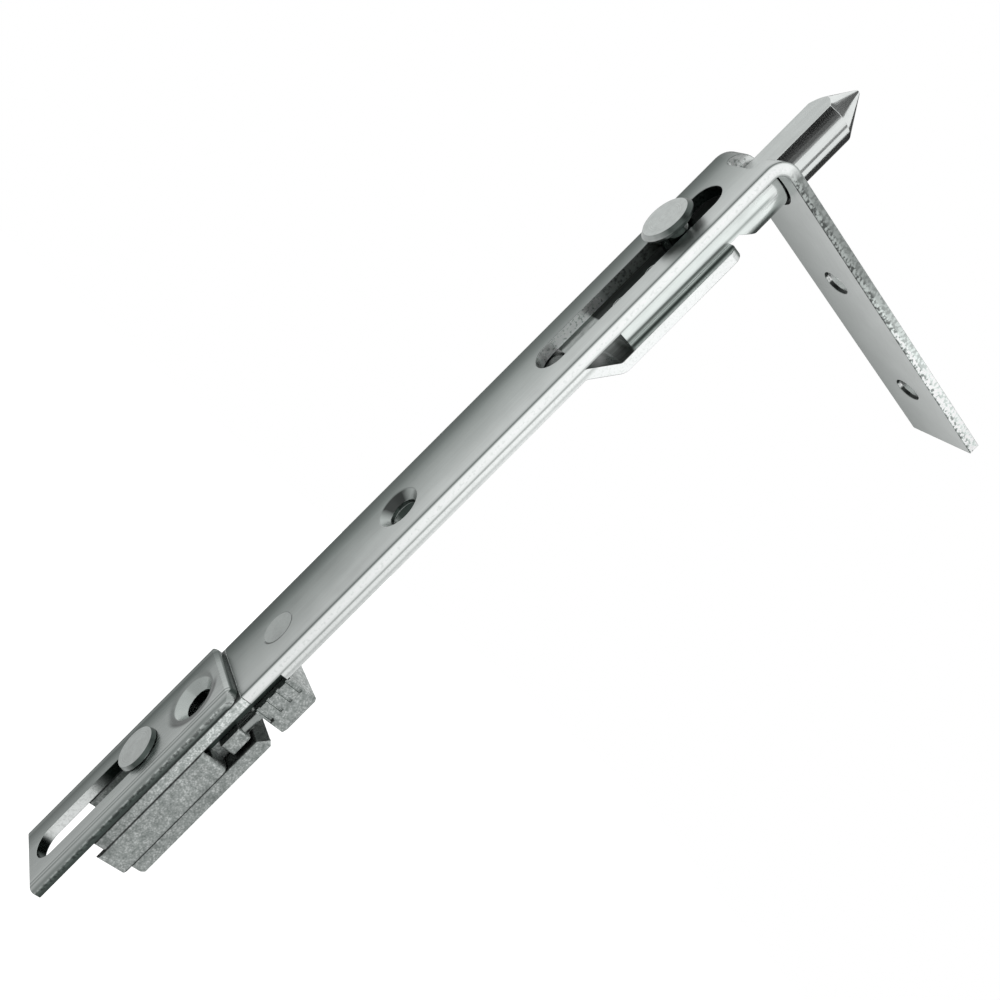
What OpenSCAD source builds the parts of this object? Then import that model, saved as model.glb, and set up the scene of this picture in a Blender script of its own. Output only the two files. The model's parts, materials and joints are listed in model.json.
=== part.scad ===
// Window shootbolt: a flat face plate bent round the corner of the sash, a pointed bolt and a
// joggled drive rod sliding behind it, a mushroom pin, and a cast coupling housing under a short
// end plate. It stands as fitted, with the bolt pointing up (+Z) and the front face towards -Y.
// The origin is the edge of the sash corner: the middle of the line where the plane of the face
// plate's back meets the plane of the leg's inner face. Sizes are in millimetres. A drop is a
// distance below the leg's outer face, and a depth is a distance behind the plate's front face.

/* [Face plate] */
// Width of the face plate and its leg
plate_w = 16; // [14.4:0.2:20]
// Thickness of the face plate and its leg
plate_t = 2.2; // [2:0.1:2.6]
// Length of the face plate from the leg's outer face to its lower end
plate_len = 119.5; // [114:0.5:130]
// Length of the leg from the plate's front face to its end
leg_len = 72; // [66:1:110]
// Inside radius of the bend between plate and leg
bend_r = 2; // [1.4:0.1:2.2]
// How far the sides of the window in the bend lie inside the bolt's
window_inset = 0.3; // [0:0.1:0.8]
// Drop of that window's lower edge
window_drop = 4.8; // [4.2:0.1:5.6]
// Radius of that window's lower corners
window_corner = 1.2; // [0.6:0.1:2]

/* [Screw holes] */
// Diameter of the clear holes for wood screws
screw_d = 5.2; // [4.2:0.1:5.4]
// Diameter of the countersinks in the face plate and the leg
sink_d = 8; // [7:0.1:8.4]
// Distance of the face plate's screw hole above the plate's lower end
face_screw_up = 37.5; // [37:0.5:45]
// Depth of the leg's first screw hole
leg_screw_first = 29.4; // [24:0.2:34]
// Distance between the leg's two screw holes
leg_screw_pitch = 28; // [20:1:32]

/* [Motion] */
// How far the bolt draws back
stroke = 20; // [14:0.5:20]

/* [Mushroom pin slot] */
// Width of the slot in the face plate
cam_slot_w = 7; // [6.8:0.1:8]
// Drop of the slot's upper end
cam_slot_top = 9.2; // [8.5:0.1:10.5]
// Drop of the slot's lower end
cam_slot_end = 50.3; // [46:0.1:53]

/* [Shootbolt] */
// Diameter of the bolt
bolt_d = 9; // [8.4:0.1:9.4]
// Depth of the bolt's axis
bolt_depth = 5.9; // [5.6:0.1:6.2]
// How far the bolt stands out of the leg
bolt_reach = 18.6; // [14:0.2:24]
// Length of the conical point
cone_len = 6.6; // [5:0.1:9]
// Diameter of the blunt tip
tip_d = 0.8; // [0.4:0.1:2]
// Drop at which the full round bolt ends and its flat tail starts
bolt_round_end = 12.6; // [11.6:0.1:13.6]
// Drop of the tail's lower end
tail_end = 37.4; // [36.6:0.1:38.4]
// Thickness of the flat tail
tail_t = 4.1; // [3.7:0.1:4.4]
// Width of the tail's broad front, which fills the view through the slot
tail_face_w = 8.6; // [8:0.1:8.8]
// Thickness of that broad front
tail_face_t = 1.3; // [1:0.1:1.4]
// Drop of its upper end
tail_face_top = 6; // [5:0.1:7]
// Gap along the bolt between its slanted lower lip and the rod's joggle
lip_gap = 0.5; // [0.4:0.1:1.2]

/* [Drive rod] */
// How far the drive rod's sides lie inside the face plate's
rod_inset = 1; // [0.8:0.1:1.4]
// Thickness of the drive rod
rod_t = 1.9; // [1.6:0.1:2]
// Drop of the rod's upper end
rod_top = 14.6; // [14:0.1:15.6]
// Corner radius of the rod's upper end
rod_corner = 2; // [1:0.5:4]
// Drop at which the joggle's front face reaches the tail
joggle_top = 40.6; // [39.6:0.1:42]
// Slope of the joggle from straight
joggle_angle = 38; // [30:1:45]
// Inside radius of the joggle's two bends
joggle_r = 1; // [0.6:0.1:1.6]
// Distance of the rod's shoulders above the face plate's lower end
shoulder_up = 6.2; // [5.5:0.1:7]
// Width of the shoulder on each side of the tongue
shoulder_w = 1.5; // [1.3:0.1:2]
// How far the tongue runs on below the stop pin's axis
tongue_past = 4.5; // [4:0.1:4.8]

/* [Mushroom pin] */
// Drop of the mushroom pin's axis
cam_drop = 19.2; // [18.6:0.1:20.4]
// Diameter of the mushroom head
cam_head_d = 9.8; // [8.4:0.1:12]
// Thickness of the mushroom head
cam_head_t = 1.4; // [1:0.1:3]
// Gap under the mushroom head
cam_head_gap = 1.5; // [1:0.1:6]
// Diameter of the pin's journal in the tail and the rod
cam_journal_d = 4; // [3:0.1:4.6]
// Diameter of the washer behind the rod
cam_washer_d = 8; // [7:0.1:9]
// Thickness of the washer behind the rod
cam_washer_t = 0.8; // [0.5:0.1:1.2]
// Diameter of the upset end behind the washer
cam_upset_d = 6.2; // [5.4:0.1:6.8]
// Thickness of the upset end
cam_upset_t = 1; // [0.6:0.1:1.6]

/* [Tail rivets] */
// Drop of the first rivet through tail and rod
tail_rivet_first = 26; // [25.4:0.1:27]
// Distance between the two rivets
tail_rivet_pitch = 7.4; // [6.4:0.1:7.8]
// Diameter of the rivet shanks
tail_rivet_d = 3.2; // [2.6:0.1:3.6]
// Diameter of the rivet heads behind the rod
tail_rivet_head_d = 5.2; // [4.6:0.1:5.8]
// Height of the rivet heads
tail_rivet_head_t = 1.3; // [0.8:0.1:1.6]

/* [Guide block] */
// How far the block reaches below the face plate's lower end
block_below = 1; // [0.6:0.1:1.4]
// Length of the block's ridged body
block_len = 7.7; // [7:0.1:8]
// Height of the block behind the rod
block_h = 6.7; // [6:0.1:8]
// Bevel along the block's back edges
block_edge = 0.7; // [0.4:0.1:1]
// Number of grooves in each side
groove_count = 4; // [3:1:5]
// Width of a groove
groove_w = 0.6; // [0.4:0.1:0.8]
// Depth of a groove
groove_deep = 0.4; // [0.3:0.05:0.45]
// Length of a groove from the block's front face
groove_len = 3.2; // [2:0.1:4]
// Distance of the guide rivet above the block
foot_reach = 3.5; // [3:0.1:4]
// Width of the foot that the rivet holds
foot_w = 7; // [6.2:0.1:8]
// Thickness of the foot
foot_t = 1.3; // [1:0.1:1.6]

/* [Guide rivet] */
// Diameter of its flush head
guide_head_d = 5.9; // [5.4:0.1:6.4]
// Thickness of its flush head
guide_head_t = 1; // [0.8:0.1:1.2]
// Diameter of its tail through the foot
guide_tail_d = 3.2; // [2.6:0.1:3.6]
// Diameter of the washer on the foot
guide_washer_d = 5.6; // [5:0.1:6.4]
// Thickness of that washer
guide_washer_t = 0.4; // [0.3:0.1:0.6]
// Diameter of its upset end
guide_upset_d = 4.6; // [4.2:0.1:4.8]
// Thickness of its upset end
guide_upset_t = 0.6; // [0.4:0.1:1]

/* [End plate] */
// Thickness of the end plate
end_t = 2; // [1.8:0.1:2.4]
// Length of the end plate
end_len = 43.8; // [43:0.1:60]
// Radius of its upper corners
end_corner = 2.2; // [1:0.1:4]
// Radius of its front edges
end_edge = 1.1; // [0.3:0.1:1.2]
// Distance of the dimpled screw hole below the end plate's upper end
dimple_below = 7; // [6.8:0.1:7.3]
// Outer diameter of the dimple's rim
dimple_d = 11.3; // [10:0.1:12]
// Depth of the dimple's rim
dimple_rim = 0.25; // [0.1:0.05:0.4]
// Diameter of the countersink in the dimple
dimple_sink_d = 8.2; // [7.4:0.1:8.4]
// Outer diameter of the neck pressed into the housing
neck_d = 7; // [6.6:0.1:8]
// Length of the neck behind the end plate
neck_len = 1.4; // [0.8:0.1:1.8]

/* [Stop pin] */
// Distance of the stop pin below the dimpled screw hole
stop_below = 11.8; // [11.5:0.1:12.2]
// Diameter of its flat head
stop_head_d = 7.9; // [7.2:0.1:9]
// Thickness of its flat head
stop_head_t = 0.9; // [0.6:0.1:1.5]
// Diameter of its shank
stop_shank_d = 6.2; // [5.6:0.1:6.6]
// Diameter of its tail through the tongue and the slide
stop_tail_d = 4; // [3.2:0.1:4.6]
// Diameter of its upset end
stop_upset_d = 5.4; // [5:0.1:6]
// Thickness of its upset end
stop_upset_t = 0.6; // [0.4:0.1:0.8]

/* [Coupling slide] */
// Distance of the slide's upper end above the stop pin's axis
slide_up = 6.2; // [5.8:0.1:6.4]
// Thickness of the slide
slide_t = 2.3; // [2:0.1:2.5]
// Width of the hook notch in the slide's lower end
hook_w = 3; // [2:0.1:4]
// Depth of the hook notch
hook_deep = 1.4; // [0.8:0.1:1.6]
// Diameter of the peg that keeps slide and tongue in line
peg_d = 2; // [1.4:0.1:2.6]
// Distance of that peg above the stop pin's axis
peg_up = 4.3; // [4.1:0.1:4.6]

/* [Coupling housing] */
// Distance of the body's upper face below the dimpled screw hole
body_below = 3.4; // [3.2:0.1:3.8]
// Length of the body
body_len = 23.6; // [23:0.1:26]
// How far the flange ends above the body's lower face
flange_short = 1.9; // [1:0.1:3]
// Height of the body behind the flange
body_h = 5.4; // [5.2:0.1:6.2]
// Corner radius of the body seen from the front
body_corner = 1.2; // [0.5:0.1:2]
// Width of the nose
nose_w = 9; // [8.6:0.1:9.6]
// Chamfer on the nose's upper back edge
nose_chamfer = 2; // [1:0.1:2.4]
// How far the bosses beside the nose start below its upper end
boss_step = 2.7; // [2.2:0.1:3]
// Length of the bosses
boss_len = 4; // [3:0.1:4.6]
// How far the bosses' sides lie inside the face plate's
boss_inset = 1.1; // [0.9:0.1:1.3]
// How far the bosses' backs lie in front of the body's
boss_shy = 0.5; // [0.3:0.1:0.8]
// Wall between the slide's channel and the cover screws
screw_wall = 0.3; // [0.2:0.05:0.5]

/* [Housing cover] */
// Thickness of the cover
cover_t = 2.6; // [2.2:0.1:3.4]
// How far the cover's sides lie inside the body's
cover_inset = 0.2; // [0.1:0.05:0.5]
// How far the cover starts below the nose's upper end
cover_step = 0.9; // [0.6:0.1:1.2]
// How far the cover's upper end slants back
cover_slant = 1.6; // [0.8:0.1:1.8]
// Size of the cover's rounded corners and bevelled back edges
cover_edge = 0.7; // [0.3:0.1:1]
// How far the cover ends above the body's lower face
cover_short = 1.7; // [1:0.1:2]

/* [Cover screws] */
// Thread diameter of the cover screws
cover_screw_d = 2.2; // [2:0.1:2.2]
// Head diameter of the cover screws
cover_screw_head_d = 4; // [3.4:0.1:4.2]
// Length of the cover screws
cover_screw_len = 5; // [4:0.1:5.2]
// Distance of the screws from the face plate's side
cover_screw_in = 2.4; // [2.4:0.1:2.6]
// Distance of the upper pair below the body's upper face
cover_screw_below = 3.9; // [3.5:0.1:5]
// Distance between the upper and the lower pair
cover_screw_pitch = 14; // [12:0.5:15]
// Length of the cross in a screw's head
cross_len = 2.8; // [2:0.1:3]
// Width of the cross's two slots
cross_w = 0.5; // [0.4:0.1:0.7]
// Depth of the cross
cross_deep = 0.5; // [0.3:0.1:0.6]

/* [Locating pins] */
// Diameter of the locating pins
dowel_d = 1.8; // [1.5:0.1:1.8]
// Length of the locating pins
dowel_len = 9.6; // [9:0.2:10]
// Distance of the pins from the bosses' sides
dowel_in = 1.5; // [1.3:0.1:1.7]

/* [Clearances] */
// Gap between the face plate and the rod
rod_gap = 0.15; // [0.1:0.05:0.25]
// Gap between the rod and what lies behind it
back_gap = 0.1; // [0.1:0.05:0.15]
// Gap between the face plate and the bolt's flat
flat_gap = 0.3; // [0.25:0.05:0.4]
// Gap round the bolt in the leg
bolt_gap = 0.5; // [0.35:0.05:0.6]
// Gap on each side of the mushroom pin in its slot
cam_gap = 0.2; // [0.1:0.05:0.4]
// Gap on each side of the stop pin in its slot
stop_gap = 0.1; // [0.05:0.05:0.2]
// Gap on each side of the rod and the slide in the housing
side_gap = 0.2; // [0.1:0.05:0.3]
// Gap between a wood screw and the sides of the rod's slots
slot_gap = 0.3; // [0.2:0.05:0.4]
// Gap between the face plate and the end plate
end_gap = 0.2; // [0.1:0.05:0.4]
// Gap between the guide block and the housing's nose
nose_gap = 1; // [0.8:0.1:1.4]
// Radial gap of a journal in its bore
journal_gap = 0.05; // [0.02:0.01:0.1]

/* [Hidden] */
$fn = 72;

// Finishes seen on the pieces
steel = [0.76, 0.78, 0.77];
bright = [0.86, 0.87, 0.87];
zinc = [0.62, 0.64, 0.63];

// How far a cutting shape runs past the face that it cuts
past = 0.5;

// Radii of the smallest corners: cut or cast, and punched
cast_r = 0.5;
punch_r = 0.2;

// Widths and places across that follow from the face plate's width and the bolt
rod_w = plate_w - 2 * rod_inset;
tongue_w = rod_w - 2 * shoulder_w;
block_w = rod_w;
boss_span = plate_w - 2 * boss_inset;
dowel_side = boss_span / 2 - dowel_in;
cover_screw_side = plate_w / 2 - cover_screw_in;
slide_w = 2 * (cover_screw_side - cover_screw_d / 2 - screw_wall - side_gap);
window_w = bolt_d - 2 * window_inset;

// Drops that follow from the face plate's lower end: rod, guide block and its rivet
face_screw_drop = plate_len - face_screw_up;
rod_shoulder = plate_len - shoulder_up;
block_low = plate_len + block_below;
block_top = block_low - block_len;
guide_drop = block_top - foot_reach;

// Drops of the end plate, the stop pin and the coupling slide
end_top = plate_len + end_gap;
end_bottom = end_top + end_len;
dimple_drop = end_top + dimple_below;
stop_drop = dimple_drop + stop_below;
tongue_end = stop_drop + tongue_past;
slide_top = stop_drop - slide_up;
peg_drop = stop_drop - peg_up;

// Drops of the housing, its cover and the cover's screws
body_top = dimple_drop + body_below;
body_bottom = body_top + body_len;
flange_bottom = body_bottom - flange_short;
nose_top = block_low + nose_gap;
boss_top = nose_top + boss_step;
cover_top = nose_top + cover_step;
cover_bottom = body_bottom - cover_short;
cover_screw_first = body_top + cover_screw_below;

// Depths of the faces behind the face plate, from front to back
rod_front = plate_t + rod_gap;
rod_back = rod_front + rod_t;
tail_front = plate_t + flat_gap;
tail_back = tail_front + tail_t;
offset_back = tail_back + rod_t;
tail_face_back = tail_front + tail_face_t;
lip_back_end = joggle_top + (tail_back - tail_face_back) / tan(joggle_angle) - lip_gap;
lip_front_end = lip_back_end + tail_face_t / tan(joggle_angle);
block_front = rod_back + back_gap;
block_back = block_front + block_h;
foot_back = block_front + foot_t;
body_back = plate_t + body_h;
cover_back = body_back + cover_t;
slide_back = rod_back + slide_t;
boss_back = body_back - boss_shy;
dowel_depth = (block_front + boss_back) / 2;

// Bend of the face plate
bend_out = bend_r + plate_t;

// Drops of the stop pin when the bolt is out and when it is drawn back
stop_slot_top = stop_drop - stop_gap;
stop_slot_end = stop_drop + stroke + stop_gap;
stop_slot_w = stop_shank_d + 2 * stop_gap;

// Shank of the mushroom pin, which fills its slot but for the gap
cam_shank_d = cam_slot_w - 2 * cam_gap;

// Slots in the rod, as long as the stroke needs, and the collar that they slide along
rod_slot_w = screw_d + 2 * slot_gap;
guide_collar_d = rod_slot_w - 2 * back_gap;
rod_slot_low = dimple_drop + rod_slot_w / 2 + back_gap;
rod_slot_high = guide_drop - stroke - rod_slot_w / 2 - back_gap;
screw_slot_low = face_screw_drop + rod_slot_w / 2 + back_gap;
screw_slot_high = face_screw_drop - stroke - rod_slot_w / 2 - back_gap;

// Moves a shape from the corner where its drops and depths are counted to the origin
module from_corner() {
    translate([0, -plate_t, plate_t]) children();
}

// Extrudes a shape drawn from the front, x across and y up, between two depths
module through(depth0, depth1) {
    translate([0, depth1, 0]) rotate([90, 0, 0]) linear_extrude(depth1 - depth0) children();
}

// Extrudes a shape drawn from the side, x as depth and y up, over a width centred on the middle
module across(width) {
    translate([-width / 2, 0, 0]) rotate([90, 0, 90]) linear_extrude(width) children();
}

// Round bar along the depth, at a drop, with its two end diameters
module bar(depth0, depth1, drop, d0, d1) {
    translate([0, depth1, -drop]) rotate([90, 0, 0]) cylinder(h = depth1 - depth0, d1 = d1, d2 = d0);
}

// Outline of a slot with round ends, given by the drops of its end centres
module slot_outline(width, drop0, drop1) {
    for (drop = [drop0, drop1]) translate([0, -drop]) circle(d = width);
    square_outline(width, drop0, drop1);
}

// Upright rectangle between two drops
module square_outline(width, drop0, drop1) {
    translate([-width / 2, -drop1]) square([width, drop1 - drop0]);
}

// Upright rectangle whose upper and lower corners have their own radii
module rounded_outline(width, drop0, drop1, r_up, r_low) {
    translate([-width / 2, -drop1 + r_low]) square([width, drop1 - drop0 - r_up - r_low]);
    translate([-width / 2 + r_up, -drop0 - r_up]) square([width - 2 * r_up, r_up]);
    translate([-width / 2 + r_low, -drop1]) square([width - 2 * r_low, r_low]);
    for (side = [-1, 1]) {
        translate([side * (width / 2 - r_up), -drop0 - r_up]) circle(r_up);
        translate([side * (width / 2 - r_low), -drop1 + r_low]) circle(r_low);
    }
}

// Countersunk screw hole along the depth, with its head side at depth0
module sunk_hole(depth0, depth1, drop, head_d) {
    sink = (head_d - screw_d) / 2;
    bar(depth0 - past, depth1 + past, drop, screw_d, screw_d);
    bar(depth0, depth0 + sink, drop, head_d, screw_d);
    bar(depth0 - past, depth0, drop, head_d, head_d);
}

// Side view of the face plate, its bend and its leg
module angle_profile() {
    translate([0, -plate_len]) square([plate_t, plate_len - bend_out]);
    translate([bend_out, -plate_t]) square([leg_len - bend_out, plate_t]);
    translate([bend_out, -bend_out]) intersection() {
        difference() {
            circle(bend_out);
            circle(bend_r);
        }
        translate([-bend_out, 0]) square(bend_out);
    }
}

// Room for the bolt: a round hole in the leg and a window in the bend in front of it
module bolt_passage() {
    translate([0, bolt_depth, -bend_out]) cylinder(h = bend_out + past, d = bolt_d + 2 * bolt_gap);
    through(-past, bolt_depth) rounded_outline(window_w, -past, window_drop, punch_r, window_corner);
}

// Flat plate with the mushroom pin's slot, bent into the leg that closes over the sash corner
module face_plate() color(steel) from_corner() {
    difference() {
        across(plate_w) angle_profile();
        bolt_passage();
        through(-past, plate_t + past)
            slot_outline(cam_slot_w, cam_slot_top + cam_slot_w / 2, cam_slot_end - cam_slot_w / 2);
        sunk_hole(0, plate_t, face_screw_drop, sink_d);
        bar(-past, guide_head_t, guide_drop, guide_head_d, guide_head_d);
        bar(0, plate_t + past, guide_drop, guide_tail_d, guide_tail_d);
        for (i = [0, 1]) translate([0, leg_screw_first + i * leg_screw_pitch, 0]) {
            translate([0, 0, -plate_t - past]) cylinder(h = plate_t + 2 * past, d = screw_d);
            translate([0, 0, -(sink_d - screw_d) / 2])
                cylinder(h = (sink_d - screw_d) / 2, d1 = screw_d, d2 = sink_d);
            cylinder(h = past, d = sink_d);
        }
    }
}

// Round bolt with a conical point, milled flat in front, and cut to a flat tail with a broad front below
module shootbolt() color(bright) from_corner() {
    body_end = bolt_reach - cone_len;
    difference() {
        union() {
            translate([0, bolt_depth, -tail_end]) cylinder(h = tail_end + body_end, d = bolt_d);
            translate([0, bolt_depth, body_end]) cylinder(h = cone_len, d1 = bolt_d, d2 = tip_d);
            across(tail_face_w) polygon([
                [tail_front, -tail_face_top],
                [tail_face_back, -tail_face_top],
                [tail_face_back, -lip_back_end],
                [tail_front, -lip_front_end]
            ]);
        }
        translate([-bolt_d, bolt_depth - bolt_d, -lip_front_end - past])
            cube([2 * bolt_d, tail_front - bolt_depth + bolt_d, lip_front_end + bolt_reach + 2 * past]);
        across(2 * bolt_d) polygon([
            [tail_back, -tail_end - past],
            [tail_back, -bolt_round_end],
            [tail_back + bolt_d, -bolt_round_end + bolt_d],
            [tail_back + bolt_d, -tail_end - past]
        ]);
        bar(0, tail_back + past, cam_drop, cam_bore_d(), cam_bore_d());
        for (i = [0, 1])
            bar(0, tail_back + past, tail_rivet_first + i * tail_rivet_pitch, tail_rivet_d, tail_rivet_d);
    }
}

// Bore that the mushroom pin's journal turns in
function cam_bore_d() = cam_journal_d + 2 * journal_gap;

// Points of an arc about a centre, from one angle to another
function arc(centre, r, a0, a1, steps = 8) =
    [for (i = [0:steps]) centre + r * [cos(a0 + (a1 - a0) * i / steps), sin(a0 + (a1 - a0) * i / steps)]];

// Side view of the rod: straight behind the plate, then stepped back behind the bolt's tail
module rod_profile() {
    outer_r = joggle_r + rod_t;
    both_r = outer_r + joggle_r;
    step = tail_back - rod_front;
    slope_rise = (step - both_r * (1 - cos(joggle_angle))) / tan(joggle_angle);
    bend2 = -joggle_top + joggle_r * tan(joggle_angle / 2);
    bend1 = bend2 - slope_rise - both_r * sin(joggle_angle);
    low = [rod_back + joggle_r, bend1];
    high = [tail_back - joggle_r, bend2];
    polygon(concat(
        [[rod_front, -tongue_end]],
        arc(low, outer_r, 180, 180 - joggle_angle),
        arc(high, joggle_r, -joggle_angle, 0),
        [[tail_back, -rod_top], [offset_back, -rod_top]],
        arc(high, outer_r, 0, -joggle_angle),
        arc(low, joggle_r, 180 - joggle_angle, 180),
        [[rod_back, -tongue_end]]
    ));
}

// Flat rod, slotted round the screws and the guide rivet, with a narrow tongue below
module drive_rod() color(bright) from_corner() {
    difference() {
        intersection() {
            across(rod_w) rod_profile();
            through(0, offset_back + past) {
                rounded_outline(rod_w, rod_top, rod_shoulder, rod_corner, punch_r);
                rounded_outline(tongue_w, rod_shoulder - rod_corner, tongue_end, punch_r, cast_r);
            }
        }
        through(0, rod_back + past) {
            slot_outline(rod_slot_w, rod_slot_high + rod_slot_w / 2, rod_slot_low - rod_slot_w / 2);
            slot_outline(rod_slot_w, screw_slot_high + rod_slot_w / 2, screw_slot_low - rod_slot_w / 2);
        }
        bar(0, offset_back + past, cam_drop, cam_bore_d(), cam_bore_d());
        for (i = [0, 1])
            bar(0, offset_back + past, tail_rivet_first + i * tail_rivet_pitch, tail_rivet_d, tail_rivet_d);
        bar(0, rod_back + past, stop_drop, stop_tail_d, stop_tail_d);
        bar(0, rod_back + past, peg_drop, peg_d, peg_d);
    }
}

// Two rivets that hold the bolt's tail to the rod, flush in front and domed behind
module tail_rivets() color(steel) from_corner() {
    for (i = [0, 1]) {
        drop = tail_rivet_first + i * tail_rivet_pitch;
        bar(tail_front, offset_back, drop, tail_rivet_d, tail_rivet_d);
        intersection() {
            bar(offset_back, offset_back + tail_rivet_head_t, drop, tail_rivet_head_d, tail_rivet_head_d);
            translate([0, offset_back + tail_rivet_head_t - dome_r(), -drop]) sphere(dome_r());
        }
    }
}

// Radius of the dome on a tail rivet's head
function dome_r() = (pow(tail_rivet_head_d / 2, 2) + pow(tail_rivet_head_t, 2)) / (2 * tail_rivet_head_t);

// Mushroom pin: a flat head on a short shank, and a journal upset behind the washer
module mushroom_pin() color(steel) from_corner() {
    head_under = -cam_head_gap;
    head_top = head_under - cam_head_t;
    bevel = cam_head_t / 2;
    washer_back = offset_back + cam_washer_t;
    bar(head_top + bevel, head_under, cam_drop, cam_head_d, cam_head_d - bevel);
    bar(head_top, head_top + bevel, cam_drop, cam_head_d - 2 * bevel, cam_head_d);
    bar(head_under, tail_front - journal_gap, cam_drop, cam_shank_d, cam_shank_d);
    bar(head_under, washer_back + journal_gap, cam_drop, cam_journal_d, cam_journal_d);
    bar(washer_back + journal_gap, washer_back + journal_gap + cam_upset_t, cam_drop,
        cam_upset_d, cam_upset_d - cam_upset_t);
}

// Washer between the rod and the mushroom pin's upset end
module mushroom_washer() color(steel) from_corner() {
    difference() {
        bar(offset_back, offset_back + cam_washer_t, cam_drop, cam_washer_d, cam_washer_d);
        bar(offset_back - past, offset_back + cam_washer_t + past, cam_drop, cam_bore_d(), cam_bore_d());
    }
}

// Cast block that keeps the rod against the face plate, with grooves in its sides
module guide_block() color(zinc) from_corner() {
    pitch = (block_len - 2 * block_edge) / (groove_count - 1);
    difference() {
        union() {
            intersection() {
                across(block_w) block_side();
                translate([0, 0, -block_low]) linear_extrude(block_len) block_outline();
            }
            through(block_front, foot_back) {
                square_outline(foot_w, guide_drop, block_low - block_edge);
                translate([0, -guide_drop]) circle(d = foot_w);
            }
        }
        for (side = [-1, 1], i = [0:groove_count - 1])
            translate([side * block_w / 2, block_front, -block_low + block_edge + i * pitch])
                cube([2 * groove_deep, 2 * groove_len, groove_w], center = true);
        bar(block_front - past, foot_back + past, guide_drop, guide_tail_d, guide_tail_d);
        dowel_cut();
    }
}

// Side view of the block, bevelled along its back edges
module block_side() {
    polygon([
        [block_front, -block_low],
        [block_front, -block_top],
        [block_back - block_edge, -block_top],
        [block_back, -block_top - block_edge],
        [block_back, -block_low + block_edge],
        [block_back - block_edge, -block_low]
    ]);
}

// Cross-section of the block, bevelled along the same edges
module block_outline() {
    polygon([
        [-block_w / 2, block_front],
        [block_w / 2, block_front],
        [block_w / 2, block_back - block_edge],
        [block_w / 2 - block_edge, block_back],
        [-block_w / 2 + block_edge, block_back],
        [-block_w / 2, block_back - block_edge]
    ]);
}

// Rivet through face plate, rod slot and foot: flush head, collar and upset end
module guide_rivet() color(steel) from_corner() {
    washer_back = foot_back + guide_washer_t;
    bar(0, guide_head_t, guide_drop, guide_head_d, guide_head_d);
    bar(guide_head_t, washer_back, guide_drop, guide_tail_d, guide_tail_d);
    bar(plate_t, block_front, guide_drop, guide_collar_d, guide_collar_d);
    bar(washer_back, washer_back + guide_upset_t, guide_drop, guide_upset_d, guide_upset_d - guide_upset_t);
}

// Washer under the guide rivet's upset end
module guide_washer() color(steel) from_corner() {
    difference() {
        bar(foot_back, foot_back + guide_washer_t, guide_drop, guide_washer_d, guide_washer_d);
        bar(foot_back - past, foot_back + guide_washer_t + past, guide_drop, guide_tail_d, guide_tail_d);
    }
}

// Short plate in front of the face plate's lower end, with a dimpled hole and the stop pin's slot
module end_plate() color(steel) from_corner() {
    sink = (dimple_sink_d - screw_d) / 2;
    difference() {
        union() {
            intersection() {
                through(-end_t, 0) rounded_outline(plate_w, end_top, end_bottom, end_corner, punch_r);
                translate([0, 0, -end_bottom]) linear_extrude(end_bottom - end_top) edge_outline();
                across(plate_w) end_side();
            }
            bar(0, neck_len, dimple_drop, neck_d, neck_d);
        }
        through(-end_t - past, past) slot_outline(stop_slot_w, stop_slot_top, stop_slot_end);
        bar(-end_t - past, neck_len + past, dimple_drop, screw_d, screw_d);
        bar(-end_t, -end_t + dimple_rim, dimple_drop, dimple_d, dimple_sink_d);
        bar(-end_t + dimple_rim, -end_t + dimple_rim + sink, dimple_drop, dimple_sink_d, screw_d);
    }
}

// Cross-section of the end plate, its two front edges rounded
module edge_outline() {
    translate([-plate_w / 2, -end_t + end_edge]) square([plate_w, end_t - end_edge]);
    translate([-plate_w / 2 + end_edge, -end_t]) square([plate_w - 2 * end_edge, end_t]);
    for (side = [-1, 1]) translate([side * (plate_w / 2 - end_edge), -end_t + end_edge]) circle(end_edge);
}

// Side view of the end plate, its upper front edge rounded
module end_side() {
    translate([-end_t, -end_bottom]) square([end_t, end_bottom - end_top - end_edge]);
    translate([-end_t + end_edge, -end_bottom]) square([end_t - end_edge, end_bottom - end_top]);
    translate([-end_t + end_edge, -end_top - end_edge]) circle(end_edge);
}

// Headed pin in the end plate's slot, riveted through the tongue and the slide
module stop_pin() color(steel) from_corner() {
    head_under = -end_t - stop_gap;
    bar(head_under - stop_head_t, head_under, stop_drop, stop_head_d - stop_head_t / 2, stop_head_d);
    bar(head_under, rod_front, stop_drop, stop_shank_d, stop_shank_d);
    bar(rod_front, slide_back - stop_upset_t, stop_drop, stop_tail_d, stop_tail_d);
    bar(slide_back - stop_upset_t, slide_back, stop_drop, stop_upset_d, stop_upset_d);
}

// Slide behind the tongue, which the handle gear's rod hooks into
module coupling_slide() color(steel) from_corner() {
    difference() {
        union() {
            through(rod_back, slide_back) rounded_outline(slide_w, slide_top, tongue_end, cast_r, punch_r);
            bar(rod_front, rod_back, peg_drop, peg_d, peg_d);
        }
        bar(rod_back - past, slide_back + past, stop_drop, stop_tail_d, stop_tail_d);
        bar(slide_back - stop_upset_t, slide_back + past, stop_drop, stop_upset_d, stop_upset_d);
        translate([-hook_w / 2, rod_back - past, -tongue_end - past])
            cube([hook_w, slide_t + 2 * past, hook_deep + past]);
    }
}

// Holes for the two locating pins
module dowel_cut() {
    for (side = [-1, 1])
        translate([side * dowel_side, dowel_depth, dowel_low()]) cylinder(h = dowel_len, d = dowel_d);
}

// Height of the locating pins' lower ends, with their middles between bosses and block
function dowel_low() = -(boss_top + block_low + dowel_len) / 2;

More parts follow.
